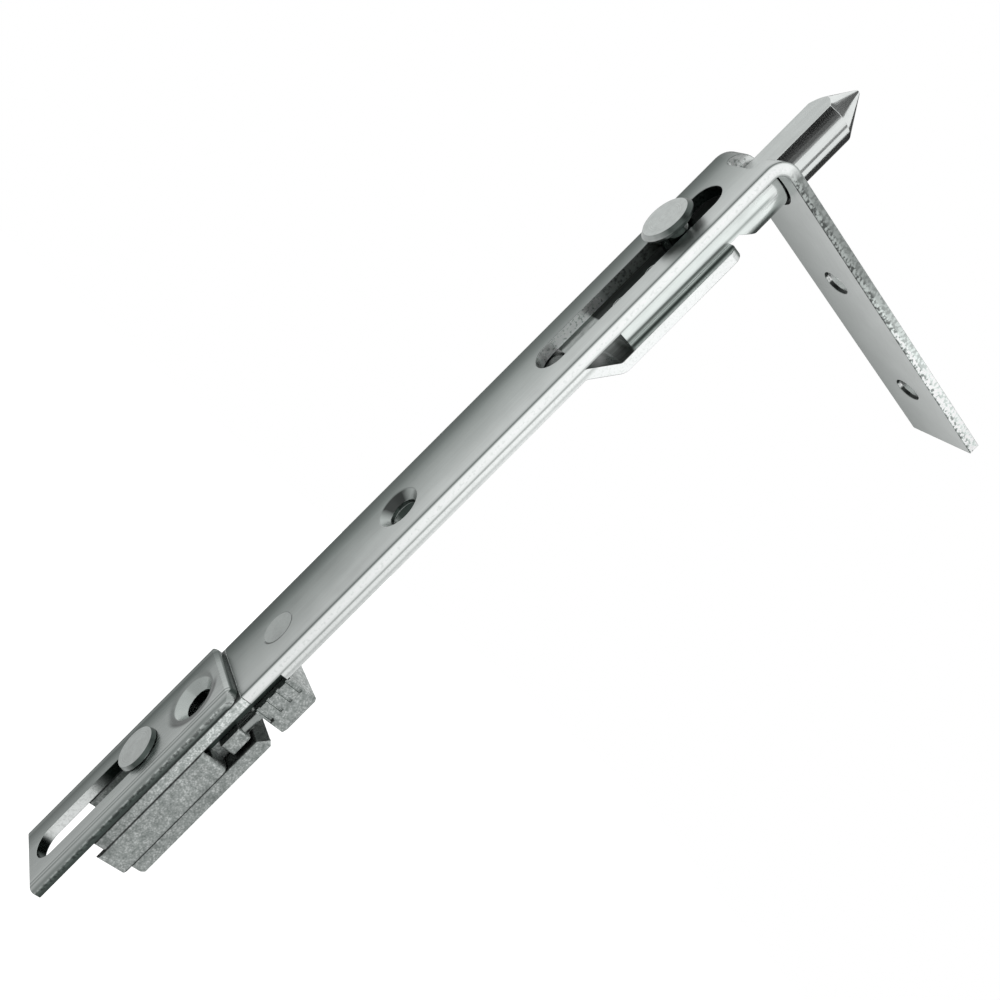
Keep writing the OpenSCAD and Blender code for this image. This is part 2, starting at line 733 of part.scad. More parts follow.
// Cast body: a flange level with the face plate, a channel for rod and slide, and a nose
module housing_body() color(zinc) from_corner() {
    difference() {
        union() {
            through(0, plate_t) rounded_outline(plate_w, plate_len, flange_bottom, punch_r, cast_r);
            through(plate_t, body_back)
                rounded_outline(plate_w, body_top, body_bottom, body_corner, body_corner);
            across(nose_w) polygon([
                [block_front, -body_top - past],
                [block_front, -nose_top],
                [body_back - nose_chamfer, -nose_top],
                [body_back, -nose_top - nose_chamfer],
                [body_back, -body_top - past]
            ]);
            through(block_front, boss_back)
                rounded_outline(boss_span, boss_top, boss_top + boss_len, cast_r, cast_r);
        }
        through(plate_t, block_front)
            square_outline(rod_w + 2 * side_gap, body_top - past, body_bottom + past);
        through(plate_t, slide_back + rod_gap)
            square_outline(slide_w + 2 * side_gap, slide_top - past, body_bottom + past);
        through(-past, plate_t + past) slot_outline(stop_slot_w, stop_slot_top, body_bottom + stop_slot_w);
        bar(-past, plate_t + past, dimple_drop, neck_d, neck_d);
        bar(plate_t, body_back + past, dimple_drop, screw_d, screw_d);
        dowel_cut();
        cover_screw_holes(cover_screw_d);
    }
}

// Holes of one diameter at the four cover screws
module cover_screw_holes(d) {
    for (side = [-1, 1], i = [0, 1]) translate([side * cover_screw_side, 0, 0])
        bar(cover_back - cover_screw_len, cover_back + past, cover_screw_first + i * cover_screw_pitch, d, d);
}

// Cast cover that closes the housing at the back
module housing_cover() color(zinc) from_corner() {
    difference() {
        intersection() {
            through(body_back, cover_back)
                rounded_outline(plate_w - 2 * cover_inset, cover_top, cover_bottom, cover_edge, cover_edge);
            across(plate_w) polygon([
                [body_back, -cover_bottom],
                [body_back, -cover_top - cover_slant],
                [cover_back - cover_edge, -cover_top],
                [cover_back, -cover_top - cover_edge],
                [cover_back, -cover_bottom + cover_edge],
                [cover_back - cover_edge, -cover_bottom]
            ]);
        }
        bar(body_back - past, cover_back + past, dimple_drop, screw_d, screw_d);
        cover_screw_holes(cover_screw_d);
        for (side = [-1, 1], i = [0, 1]) translate([side * cover_screw_side, 0, 0])
            cover_screw_head(cover_screw_first + i * cover_screw_pitch, 0);
    }
}

// Countersunk head of a cover screw, or the room for it
module cover_screw_head(drop, shy) {
    sink = (cover_screw_head_d - cover_screw_d) / 2;
    bar(cover_back - sink, cover_back - shy, drop, cover_screw_d, cover_screw_head_d - 2 * shy);
}

// Four countersunk screws with cross slots, driven from the back
module cover_screws() color(bright) from_corner() {
    for (side = [-1, 1], i = [0, 1]) translate([side * cover_screw_side, 0, 0]) {
        drop = cover_screw_first + i * cover_screw_pitch;
        tip = cover_back - cover_screw_len;
        difference() {
            union() {
                bar(tip, cover_back - cross_deep, drop, cover_screw_d, cover_screw_d);
                cover_screw_head(drop, journal_gap);
            }
            for (turn = [0, 90]) translate([0, cover_back - cross_deep, -drop]) rotate([0, turn, 0])
                translate([-cross_len / 2, 0, -cross_w / 2]) cube([cross_len, cross_deep + past, cross_w]);
        }
    }
}

// Two pins that line up the housing's nose with the guide block
module locating_pins() color(bright) from_corner() {
    dowel_cut();
}

face_plate();
shootbolt();
drive_rod();
tail_rivets();
mushroom_pin();
mushroom_washer();
guide_block();
guide_rivet();
guide_washer();
end_plate();
stop_pin();
coupling_slide();
housing_body();
housing_cover();
cover_screws();
locating_pins();
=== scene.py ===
"""Finish, light and camera for the window shootbolt, laid out as a Blender add-on.

Every length is in metres in the part's own frame: +Z along the bolt, -Y out of the face plate's front,
X across the plate, and the origin on the edge of the sash corner.
"""

import json
import math

import bmesh
import bpy
from bpy.props import FloatProperty, FloatVectorProperty, IntProperty, PointerProperty
from mathutils import Matrix, Vector

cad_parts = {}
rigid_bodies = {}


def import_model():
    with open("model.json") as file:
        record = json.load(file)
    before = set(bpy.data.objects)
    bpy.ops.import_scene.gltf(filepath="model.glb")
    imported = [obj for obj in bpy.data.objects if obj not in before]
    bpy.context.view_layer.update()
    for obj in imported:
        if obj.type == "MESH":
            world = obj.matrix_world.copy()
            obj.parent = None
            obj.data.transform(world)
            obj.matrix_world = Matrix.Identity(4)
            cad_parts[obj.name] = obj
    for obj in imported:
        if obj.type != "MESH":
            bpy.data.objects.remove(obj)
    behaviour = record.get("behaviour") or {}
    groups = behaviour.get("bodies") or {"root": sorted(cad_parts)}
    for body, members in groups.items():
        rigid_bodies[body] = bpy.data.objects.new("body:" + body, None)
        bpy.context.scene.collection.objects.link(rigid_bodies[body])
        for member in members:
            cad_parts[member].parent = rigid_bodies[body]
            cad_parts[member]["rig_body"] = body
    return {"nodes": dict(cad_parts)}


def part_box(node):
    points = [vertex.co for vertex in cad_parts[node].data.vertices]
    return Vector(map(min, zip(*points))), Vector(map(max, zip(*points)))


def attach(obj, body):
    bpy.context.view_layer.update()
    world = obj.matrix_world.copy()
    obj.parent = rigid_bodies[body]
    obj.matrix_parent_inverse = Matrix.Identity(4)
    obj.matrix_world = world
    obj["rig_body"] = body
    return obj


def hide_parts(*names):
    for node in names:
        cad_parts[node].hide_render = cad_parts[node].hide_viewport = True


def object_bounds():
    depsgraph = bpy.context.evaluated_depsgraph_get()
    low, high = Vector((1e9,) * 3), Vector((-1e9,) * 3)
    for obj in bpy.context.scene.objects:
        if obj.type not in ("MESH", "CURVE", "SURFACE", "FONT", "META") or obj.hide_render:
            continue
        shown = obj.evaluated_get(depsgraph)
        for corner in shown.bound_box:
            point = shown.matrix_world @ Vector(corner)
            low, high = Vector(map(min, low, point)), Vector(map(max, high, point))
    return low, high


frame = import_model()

bl_info = {
    "name": "Window shootbolt",
    "version": (1, 0, 0),
    "blender": (4, 5, 0),
    "location": "3D View > Sidebar > Shootbolt",
    "description": "Dresses the pieces of a window shootbolt with eased edges and metal finishes",
    "category": "Object",
}

MM = 0.001
CAD_BOX = [list(corner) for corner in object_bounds()]

PLATE_LOW, PLATE_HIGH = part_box("face_plate")
END_LOW, END_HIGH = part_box("end_plate")
HOUSING_LOW, HOUSING_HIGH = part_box("housing_body")

THICK = PLATE_HIGH.z
BEND_OUTSIDE = THICK + 2.0 * MM
WIDE = PLATE_HIGH.x


def middle(low, high):
    """Middle of a box."""
    return (low + high) / 2


# Settings

def length(name, text, default, low, high):
    """Setting of a length, given in millimetres."""
    return FloatProperty(name=name, description=text, default=default * MM, min=low * MM, max=high * MM,
                         unit="LENGTH")


def share(name, text, default, high=1.0, unit="NONE"):
    """Setting from nothing to a highest value."""
    return FloatProperty(name=name, description=text, default=default, min=0.0, max=high, unit=unit)


class ShootboltEdges(bpy.types.PropertyGroup):
    """How much the edges of the pieces are eased."""

    strip: length("Strip", "Easing of the punched strip's edges", 0.12, 0.02, 0.4)
    bar: length("Bar", "Easing of the bolt's and the rod's edges", 0.18, 0.02, 0.4)
    cast: length("Casting", "Rounding of the castings' edges", 0.09, 0.05, 0.5)
    turned: length("Turned", "Easing of the pins' and the rivets' edges", 0.10, 0.02, 0.3)
    segments: IntProperty(name="Segments", description="Faces across an eased edge", default=3, min=1, max=6)


class ShootboltFinish(bpy.types.PropertyGroup):
    """Colours of the finishes."""

    tint: FloatVectorProperty(name="Tint", description="Tint of a dark grey; lighter greys take a smaller share",
                              subtype="COLOR", default=(0.855, 1.0, 0.94))
    leg: share("Leg", "Brightness of the leg's rolled faces", 0.49)
    side: share("Sheared side", "Brightness of the face plate's sheared sides", 0.98)
    leg_side: share("Leg's side", "Brightness of the leg's rough sides", 0.33)
    hole: share("Punched walls", "Brightness of the walls of slots and holes", 0.10)
    bolt: share("Bolt", "Brightness of the bolt's round sides", 0.80)
    bolt_flat: share("Bolt's flat", "Brightness of the milled flat", 0.53)
    tail: share("Tail", "Brightness of the tail's sides", 0.95)
    lip: share("Lip", "Brightness of the tail's lower lip", 0.40)
    # Painted shade: the tail's flat seen through the slot is darkened in its colour for the shade of the slot's
    # walls and the pins' heads.
    tail_flat: share("Tail's flat", "Brightness of the oiled flat behind the slot", 0.02)
    rod: share("Rod", "Brightness of the rod's wide faces", 0.30)
    rod_side: share("Rod's sides", "Brightness of the rod's sheared sides", 0.98)
    pin: share("Pin heads", "Brightness of the turned heads", 0.50)
    shank: share("Pin shanks", "Brightness of the dark shanks", 0.12)
    rivet: share("Rivets", "Brightness of rivets, screws and washers", 0.42)
    cast_dark: share("Casting, dark", "Brightness of the castings' darker grains", 0.24)
    cast_light: share("Casting, light", "Brightness of the castings' lighter grains", 0.35)


class ShootboltStage(bpy.types.PropertyGroup):
    """Light of the stage."""

    side_lamp: share("Side lamp", "Power of the soft box beside the near side", 0.25, 10.0, "POWER")
    top_lamp: share("Top lamp", "Power of the soft box above the front", 0.35, 10.0, "POWER")
    card_tone: share("Card tone", "Brightness of the dark cards that the metal mirrors", 0.02)
    card_radius: length("Card radius", "Distance from the bolt to the cards", 100.0, 50.0, 1000.0)
    room: share("Room", "Strength of the room's light", 0.6, 2.0)
    floor_glow: share("Floor glow", "Glow of the floor where the metal mirrors it", 0.24)
    floor_drop: length("Floor drop", "Distance from the part's lowest point to the floor", 300.0, 0.0, 2000.0)


# Node helpers

# Range of a noise that is spread over a whole change of tone
NOISE = (0.3, 0.7)
# A normal's size along X from which a face counts as a side, and its Y at which one counts as a front
SIDEWAYS = (0.75, 0.95)
FRONTAL = (-0.7, -0.4)


def grey(value):
    """Grey of a brightness with the cool tint of zinc, which is stronger in the darker tones."""
    tint = bpy.context.scene.shootbolt_finish.tint
    part = min(1.6, 0.22 / (value + 0.08))
    return tuple(value * (1.0 - part * (1.0 - channel)) for channel in tint)


class Nodes:
    """Builder of one node tree. Where it takes a value, a socket, a number or a vector will do."""

    def __init__(self, tree):
        self.tree = tree

    def feed(self, value, socket):
        """Sets an input from a socket, a number or a colour."""
        if isinstance(value, bpy.types.NodeSocket):
            self.tree.links.new(value, socket)
        elif socket.type == "RGBA":
            socket.default_value = (*(value if isinstance(value, tuple) else (value,) * 3), 1.0)
        else:
            socket.default_value = value

    def add(self, kind, **values):
        """New node. Values go to its properties, or to the inputs of that name with spaces as underscores."""
        node = self.tree.nodes.new(kind)
        for key, value in values.items():
            if hasattr(node, key):
                setattr(node, key, value)
            else:
                self.feed(value, node.inputs[key.replace("_", " ")])
        return node

    def out(self, kind, **values):
        """First output of a new node."""
        return self.add(kind, **values).outputs[0]

    def calc(self, operation, *values, **options):
        """Math node on sockets or numbers."""
        node = self.add("ShaderNodeMath", operation=operation, **options)
        for value, socket in zip(values, node.inputs):
            self.feed(value, socket)
        return node.outputs[0]

    def vectors(self, operation, *values):
        """Vector math node, as a node, because its output depends on the operation."""
        node = self.add("ShaderNodeVectorMath", operation=operation)
        for value, socket in zip(values, node.inputs):
            self.feed(value, socket)
        return node

    def product(self, first, *others):
        """Product of two or more values."""
        for other in others:
            first = self.calc("MULTIPLY", first, other)
        return first

    def hypotenuse(self, *sides):
        """Longest side of a right triangle with these two others."""
        squares = [self.calc("POWER", self.calc("ABSOLUTE", side), 2.0) for side in sides]
        return self.calc("SQRT", self.calc("ADD", *squares))

    def axis(self, letter, output="Object"):
        """One component of the object coordinates, or of the normal."""
        place = self.add("ShaderNodeTexCoord").outputs[output]
        return self.add("ShaderNodeSeparateXYZ", Vector=place).outputs[letter]

    def normal(self, letter):
        """One component of the object's own normal."""
        return self.axis(letter, "Normal")

    def lean(self, letter):
        """Size of one component of the object's own normal."""
        return self.calc("ABSOLUTE", self.normal(letter))

    def spread(self, value, low, high, to_low, to_high):
        """Value mapped from one range to another, clamped."""
        return self.out("ShaderNodeMapRange", clamp=True, Value=value, From_Min=low, From_Max=high,
                        To_Min=to_low, To_Max=to_high)

    def rise(self, value, low, high):
        """Mask that grows from nothing to one on the way from low to high."""
        return self.spread(value, low, high, 0.0, 1.0)

    def fall(self, value, low, high):
        """Mask that shrinks from one to nothing on the way from low to high."""
        return self.spread(value, low, high, 1.0, 0.0)

    def between(self, value, low, high, soft):
        """Mask of the values from low to high, with soft ends."""
        return self.product(self.rise(value, low, low + soft), self.fall(value, high - soft, high))

    def ramp(self, source, stops):
        """Colour ramp, with (position, colour) stops."""
        node = self.add("ShaderNodeValToRGB", Fac=source)
        elements = node.color_ramp.elements
        while len(elements) < len(stops):
            elements.new(1.0)
        for element, (position, colour) in zip(elements, stops):
            element.position = position
            element.color = (*colour, 1.0)
        return node.outputs[0]

    def tones(self, source, *stops):
        """Ramp of greys, with (position, brightness) stops."""
        return self.ramp(source, [(position, grey(value)) for position, value in stops])

    def mixed(self, factor, first, second, blend="MIX"):
        """Colour mix."""
        node = self.add("ShaderNodeMix", data_type="RGBA", blend_type=blend)
        for value, number in ((factor, 0), (first, 6), (second, 7)):
            self.feed(value, node.inputs[number])
        return node.outputs[2]

    def shaded(self, colour, factor):
        """Colour multiplied by a colour or a brightness."""
        return self.mixed(1.0, colour, factor, "MULTIPLY")

    def varied(self, colour, mask, low, high):
        """Colour multiplied by a factor that runs from low to high with a mask."""
        return self.shaded(colour, self.ramp(mask, list(zip(NOISE, ((low,) * 3, (high,) * 3)))))

    def tinted(self, tone, value):
        """Changing brightness with the tint that a grey of one fixed value has."""
        return self.shaded(tone, tuple(channel / value for channel in grey(value)))

    def group(self, title, **values):
        """Outputs of a group node. The group is built at its first use."""
        tree = bpy.data.node_groups.get(title) or GROUPS[title](title)
        return self.add("ShaderNodeGroup", node_tree=tree, **values).outputs

    def grain(self, stretch, scale, fine):
        """Lines of a drawn or rolled grain, and its broader blotches."""
        outputs = self.group("Metal grain", Stretch=stretch, Scale=scale, Fine=fine)
        return outputs["Mask"], outputs["Blotch"]

    def speckle(self, size, contrast):
        """Speckle of a size and a contrast."""
        return self.group("Speckle", Size=size, Contrast=contrast)["Mask"]

    def coat(self, colour, roughness, relief, depth, strength=0.5):
        """Feeds the tree's shader with colour, roughness and a bump of a real depth in metres."""
        shader = self.tree.nodes["Principled BSDF"]
        bump = self.out("ShaderNodeBump", Strength=strength, Distance=depth, Height=relief)
        for value, label in ((colour, "Base Color"), (roughness, "Roughness"), (bump, "Normal")):
            self.feed(value, shader.inputs[label])


SOCKETS = {float: "NodeSocketFloat", int: "NodeSocketInt", tuple: "NodeSocketVector"}


def new_group(title, inputs, outputs, kind="ShaderNodeTree"):
    """Empty node group: its builder, the sockets that come in and the sockets that go out."""
    tree = bpy.data.node_groups.new(title, kind)
    for label, default in inputs.items():
        socket_type = SOCKETS.get(type(default), "NodeSocketMaterial")
        socket = tree.interface.new_socket(label, in_out="INPUT", socket_type=socket_type)
        if default is not None:
            socket.default_value = default
    for label, socket_type in outputs.items():
        tree.interface.new_socket(label, in_out="OUTPUT", socket_type=socket_type)
    return Nodes(tree), tree.nodes.new("NodeGroupInput").outputs, tree.nodes.new("NodeGroupOutput").inputs


def grain_group(title):
    """Drawn or rolled grain: noise stretched along one direction, with finer noise over it."""
    t, entry, leave = new_group(title, {"Stretch": (1.0, 1.0, 1.0), "Scale": 800.0, "Fine": 0.3},
                                {"Mask": SOCKETS[float], "Blotch": SOCKETS[float]})
    place = t.add("ShaderNodeTexCoord").outputs["Object"]
    drawn = t.vectors("MULTIPLY", place, entry["Stretch"]).outputs["Vector"]
    finer = t.product(entry["Scale"], 4.3)
    coarse = t.out("ShaderNodeTexNoise", Vector=drawn, Scale=entry["Scale"], Detail=3.0, Roughness=0.6)
    fine = t.out("ShaderNodeTexNoise", Vector=drawn, Scale=finer, Detail=2.0, Roughness=0.7)
    t.feed(t.out("ShaderNodeMix", data_type="FLOAT", Factor=entry["Fine"], A=coarse, B=fine), leave["Mask"])
    t.feed(t.out("ShaderNodeTexNoise", Vector=place, Scale=160.0, Detail=2.0, Roughness=0.5), leave["Blotch"])
    return t.tree


def speckle_group(title):
    """Speckle of a die casting or of a torn sheared edge: grains of two sizes."""
    t, entry, leave = new_group(title, {"Size": 0.0006, "Contrast": 1.0}, {"Mask": SOCKETS[float]})
    place = t.add("ShaderNodeTexCoord").outputs["Object"]
    scale = t.calc("DIVIDE", 1.0, entry["Size"])
    grains = t.out("ShaderNodeTexNoise", Vector=place, Scale=scale, Detail=4.0, Roughness=0.62)
    cells = t.out("ShaderNodeTexVoronoi", feature="SMOOTH_F1", Vector=place, Scale=scale, Smoothness=0.6)
    both = t.rise(t.calc("SUBTRACT", grains, t.product(cells, 0.45)), 0.0, 0.45)
    t.feed(t.calc("POWER", both, entry["Contrast"], use_clamp=True), leave["Mask"])
    return t.tree


def section_group(title):
    """Depth below the outer face of a strip that runs along Z and may bend round into a leg along Y."""
    t, entry, leave = new_group(title, {"Front": 0.0, "Top": 0.0, "Radius": 0.0}, {"Depth": SOCKETS[float]})
    radius = entry["Radius"]
    ahead = t.calc("SUBTRACT", t.calc("ADD", entry["Front"], radius), t.axis("Y"))
    above = t.calc("SUBTRACT", t.axis("Z"), t.calc("SUBTRACT", entry["Top"], radius))
    reach = t.hypotenuse(t.calc("MAXIMUM", ahead, 0.0), t.calc("MAXIMUM", above, 0.0))
    t.feed(t.calc("SUBTRACT", radius, reach), leave["Depth"])
    return t.tree


GROUPS = {"Metal grain": grain_group, "Speckle": speckle_group, "Strip section": section_group}


# Tables of the finishes

# Grains: stretch, scale, share of the finer noise
PLATE_GRAIN = ((1.0, 0.10, 0.05), 2600.0, 0.35)
BOLT_GRAIN = ((1.0, 1.0, 0.04), 2400.0, 0.4)
BOLT_CLOUD = ((1.0, 1.0, 0.3), 500.0, 0.3)
ROD_GRAIN = ((1.0, 0.4, 0.05), 2400.0, 0.4)
RIVET_GRAIN = ((1.0, 1.0, 1.0), 1800.0, 0.4)
CAST_CLOUD = ((1.0, 1.0, 0.6), 420.0, 0.3)

# Speckles: size of a grain, contrast
TORN = (0.50 * MM, 0.8)
ROUGH_EDGE = (0.60 * MM, 1.3)
ROD_GRIT = (0.30 * MM, 0.8)
CAST_FINE = (0.34 * MM, 0.9)
CAST_COARSE = (1.1 * MM, 0.8)

# Places where a finish changes, each from and to, in metres
LEG_STARTS = (0.5 * MM, 3.0 * MM)
LEG_BRIGHTENS = (24.0 * MM, 50.0 * MM)
LEG_ENDS = (PLATE_HIGH.y - 0.3 * MM, PLATE_HIGH.y - 0.2 * MM)
# Painted shade: from here down the end plate's sides take their darker stops.
LOW_SIDE_DARKENS = (-118.0 * MM, -140.0 * MM)
LOW_SIDE_ROUGHENS = (-117.0 * MM, -118.0 * MM)
PASSAGE_STARTS = (-7.0 * MM, -5.0 * MM)
PLATE_RIM = (0.90 * WIDE, 0.94 * WIDE)
TAIL_ENDS = (-3.5 * MM, -1.0 * MM)
TAIL_SMOOTHS = (-8.0 * MM, -2.0 * MM)
# Painted shade on the tail's front: where it starts, and where it fades out.
TAIL_SHADE_STARTS = (-35.6 * MM, -35.3 * MM)
TAIL_SHADE_FADES = (-8.5 * MM, -3.5 * MM)
ROD_DEPTH = (0.0, 2.2 * MM)
# Painted shade on the rod's wide faces along the joggle.
JOGGLE_SHADE = (-48.0 * MM, -38.0 * MM)
# Painted reflection across the rod's front beside the tail: where it starts, and how far across it runs.
REFLECTION_STARTS = (-36.0 * MM, -35.0 * MM)
REFLECTION_WIDTH = (4.0 * MM, 7.0 * MM)
# Painted shade: sides of the narrower parts, closer to the middle than this, are painted nearly black.
NARROW_SIDE_SHADE = (5.6 * MM, 6.4 * MM)
FLANGE_ENDS = (-0.15 * MM, 0.0)

# Height in millimetres over which the tones of the punched walls are given
WALL_REACH = 165.0
# Half the width of a dark seam between two castings
SEAM = 0.24 * MM

# Brightness across the rolled faces and through the sheared sides: (share of the way, brightness)
# Painted shade across the face plate: darker towards its far edge and again just at its near edge.
PLATE_ACROSS = [(0.0, 0.10), (0.05, 0.10), (0.16, 0.16), (0.28, 0.27), (0.45, 0.36), (0.65, 0.44), (0.82, 0.52),
                (0.93, 0.56), (0.965, 0.46), (0.985, 0.20)]
# Painted highlights and shade: light and dark streaks along both rounded edges of the end plate, darker towards its
# far edge.
END_ACROSS = [(0.0, 0.12), (0.03, 0.36), (0.06, 0.10), (0.09, 0.22), (0.13, 0.12), (0.25, 0.24), (0.38, 0.37),
              (0.60, 0.40), (0.80, 0.44),
              (0.865, 0.50), (0.885, 0.22), (0.905, 0.55), (0.93, 0.22), (0.955, 0.55), (0.985, 0.28)]
# Painted shade: the end plate's sides darken towards their back, and low down from halfway back.
END_SIDE = [(0.0, 0.36), (0.25, 0.42), (0.45, 0.42), (0.65, 0.30), (0.80, 0.20), (0.92, 0.04), (1.0, 0.02)]
END_LOW_SIDE = [(0.0, 0.40), (0.12, 0.20), (0.24, 0.28), (0.38, 0.38), (0.50, 0.10), (0.90, 0.08), (1.0, 0.04)]
# Painted reflection across the rod's front beside the tail: light, then a dark line, then light again towards its
# edge.
ROD_REFLECTION = [(0.0, 0.70), (0.20, 0.70), (0.33, 0.35), (0.47, 0.05), (0.60, 0.04), (0.72, 0.25), (0.85, 0.75),
             (1.0, 0.95)]
# Painted reflections and shade: light and dark stripes round the tail's sides, by the way each faces, as shares of
# their brightness.
TAIL_PAINTED_BANDS = [(0.0, 1.0), (0.22, 1.0), (0.29, 0.45), (0.35, 1.0), (0.52, 1.0), (0.62, 0.55), (0.70, 0.12),
              (1.0, 0.05)]

# The same as shares of a brightness in the settings
LEG_ACROSS = [(0.0, 0.72), (0.4, 0.98), (1.0, 1.35)]
PLATE_SIDE = [(0.0, 0.28), (0.08, 0.60), (0.16, 1.0), (0.60, 1.0), (0.80, 0.95), (0.90, 0.55), (1.0, 0.42)]
# Painted shade at the front of the rod's sides, next to the plate's back, and a darker streak a little past their
# middle.
ROD_SIDE = [(0.0, 0.38), (0.15, 0.50), (0.35, 1.0), (0.50, 0.95), (0.64, 0.66), (0.75, 0.75), (0.95, 1.0)]
CAST_TONES = [(0.45, 0.9), (0.65, 1.1), (0.80, 1.35), (0.95, 1.8)]

# Punched walls: (height in millimetres, share of the walls' brightness), painting shade where the pins' heads shade
# the slots and highlights where the walls catch light
PLATE_WALLS = [(0.0, 8.5), (-5.0, 7.0), (-7.0, 0.8), (-16.0, 0.8), (-20.0, 2.5), (-27.0, 3.5), (-31.5, 5.0),
               (-33.0, 9.0), (-46.0, 9.8), (-48.0, 3.0), (-50.0, 0.5)]
END_WALLS = [(-118.0, 0.5), (-144.0, 0.5), (-147.5, 8.5), (-156.5, 8.8), (-158.5, 0.5)]


def scaled(stops, brightness):
    """Stops with their shares turned into brightnesses."""
    return [(at, part * brightness) for at, part in stops]


# Finishes

def metal(name, roughness):
    """New material with a metallic shader, and the builder of its tree."""
    material = bpy.data.materials.new(name)
    material.use_nodes = True
    shader = material.node_tree.nodes["Principled BSDF"]
    shader.inputs["Metallic"].default_value = 1.0
    shader.inputs["Roughness"].default_value = roughness
    return material, Nodes(material.node_tree)


def sunk_tone(t, far_wall):
    """Countersink or dimple: painted light at its two ends and painted shade on its near wall."""
    wall = t.spread(t.normal("X"), -0.35, 0.50, 0.03, far_wall)
    return t.mixed(t.rise(t.lean("Z"), 0.35, 0.66), wall, 0.48)


def ring_shade(t, height, inner, outer, tone):
    """Factor that darkens the near half of a ring in the front face, round a rivet or a pressed hole."""
    across = t.axis("X")
    reach = t.hypotenuse(across, t.calc("SUBTRACT", t.axis("Z"), height))
    ring = t.between(reach, inner, outer, 0.4 * (outer - inner))
    return t.spread(t.product(ring, t.rise(across, 0.0, 0.4 * outer)), 0.0, 1.0, 1.0, tone)


def sheared_tone(t, depth, leg, torn, side_stops, low_stops):
    """Sheared sides: a bright streak on the plate, painted shade and a rougher grain low down, and a rough leg."""
    look = bpy.context.scene.shootbolt_finish
    rough_edge = t.speckle(*ROUGH_EDGE)
    plain = t.mixed(t.rise(t.axis("Z"), *LOW_SIDE_DARKENS), t.tones(depth, *side_stops),
                    t.tones(depth, *low_stops))
    rough = t.mixed(t.rise(t.axis("Z"), *LOW_SIDE_ROUGHENS), t.varied(plain, torn, 0.90, 1.04),
                    t.varied(plain, rough_edge, 0.60, 1.35))
    plate_side = t.mixed(t.between(depth, 0.30, 0.75, 0.10), plain, rough)
    far_out = t.spread(t.axis("Y"), *LEG_BRIGHTENS, look.leg_side, 0.98 * look.side)
    leg_tone = t.tinted(t.product(far_out, t.spread(depth, 0.86, 0.97, 1.0, 0.25)), 0.35)
    leg_side = t.mixed(t.rise(depth, 0.45, 0.65), t.varied(leg_tone, rough_edge, 0.78, 1.18),
                       t.varied(leg_tone, rough_edge, 0.35, 1.60))
    return t.mixed(leg, plate_side, leg_side)


def wall_tone(t, torn, stops, wall_rough, far_wall):
    """Walls of slots and holes: painted shade and highlights along the part, painted shade in the passage through
    the bend, and countersinks.
    """
    look = bpy.context.scene.shootbolt_finish
    along = t.rise(t.axis("Z"), 0.0, -WALL_REACH * MM)
    walls = t.tones(along, *((-height / WALL_REACH, look.hole * part) for height, part in stops))
    walls = t.varied(walls, torn, 1.0 - wall_rough, 1.0 + 0.8 * wall_rough)
    # Painted shade: in the passage through the bend every wall but the one facing +X is nearly black.
    passage = t.product(t.rise(t.axis("Z"), *PASSAGE_STARTS), t.fall(t.normal("X"), 0.5, 0.9))
    walls = t.mixed(passage, walls, grey(0.06))
    return t.mixed(t.rise(t.lean("Y"), 0.15, 0.30), walls, t.tinted(sunk_tone(t, far_wall), 0.35))


def strip_finish(name, section, thick, stops, roughness, far_wall, wall_top, wall_rough, ring):
    """Plated strip: rolled faces with painted shade towards the far side, sheared sides, punched walls with painted
    shade and highlights, and painted shade on the top end faces.
    """
    rolled_stops, side_stops, low_stops, wall_stops = stops
    look = bpy.context.scene.shootbolt_finish
    material, t = metal(name, roughness)
    depth = t.calc("DIVIDE", t.group("Strip section", **section)["Depth"], thick)
    lines, blotch = t.grain(*PLATE_GRAIN)
    torn = t.speckle(*TORN)
    across = t.rise(t.axis("X"), -WIDE, WIDE)
    leg = t.rise(t.axis("Y"), *LEG_STARTS)
    leg_end = t.rise(t.axis("Y"), *LEG_ENDS)

    rolled = t.mixed(leg, t.tones(across, *rolled_stops), t.tones(across, *scaled(LEG_ACROSS, look.leg)))
    rolled = t.varied(t.varied(rolled, lines, 0.90, 1.08), blotch, 0.96, 1.04)
    rolled = t.shaded(rolled, ring_shade(t, *ring))
    sheared = sheared_tone(t, depth, leg, torn, side_stops, low_stops)
    walls = wall_tone(t, torn, wall_stops, wall_rough, far_wall)

    inner = t.product(t.between(depth, 0.02, 0.98, 0.06),
                      t.fall(t.calc("ABSOLUTE", t.axis("X")), *PLATE_RIM),
                      t.fall(t.axis("Z"), wall_top, wall_top + 0.2 * MM), t.calc("SUBTRACT", 1.0, leg_end))
    # Painted shade: upward faces at the end plate's top end are painted nearly black.
    top_shade = t.product(t.rise(t.normal("Z"), 0.70, 0.90), t.rise(t.axis("Z"), wall_top, wall_top + 0.1 * MM))
    aside = t.rise(t.lean("X"), *SIDEWAYS)
    colour = t.mixed(inner, t.mixed(t.calc("MAXIMUM", aside, leg_end), rolled, sheared), walls)
    colour = t.mixed(top_shade, colour, grey(0.07))
    t.coat(colour, t.spread(lines, *NOISE, roughness - 0.05, roughness + 0.08), t.mixed(aside, lines, torn),
           0.012 * MM)
    return material


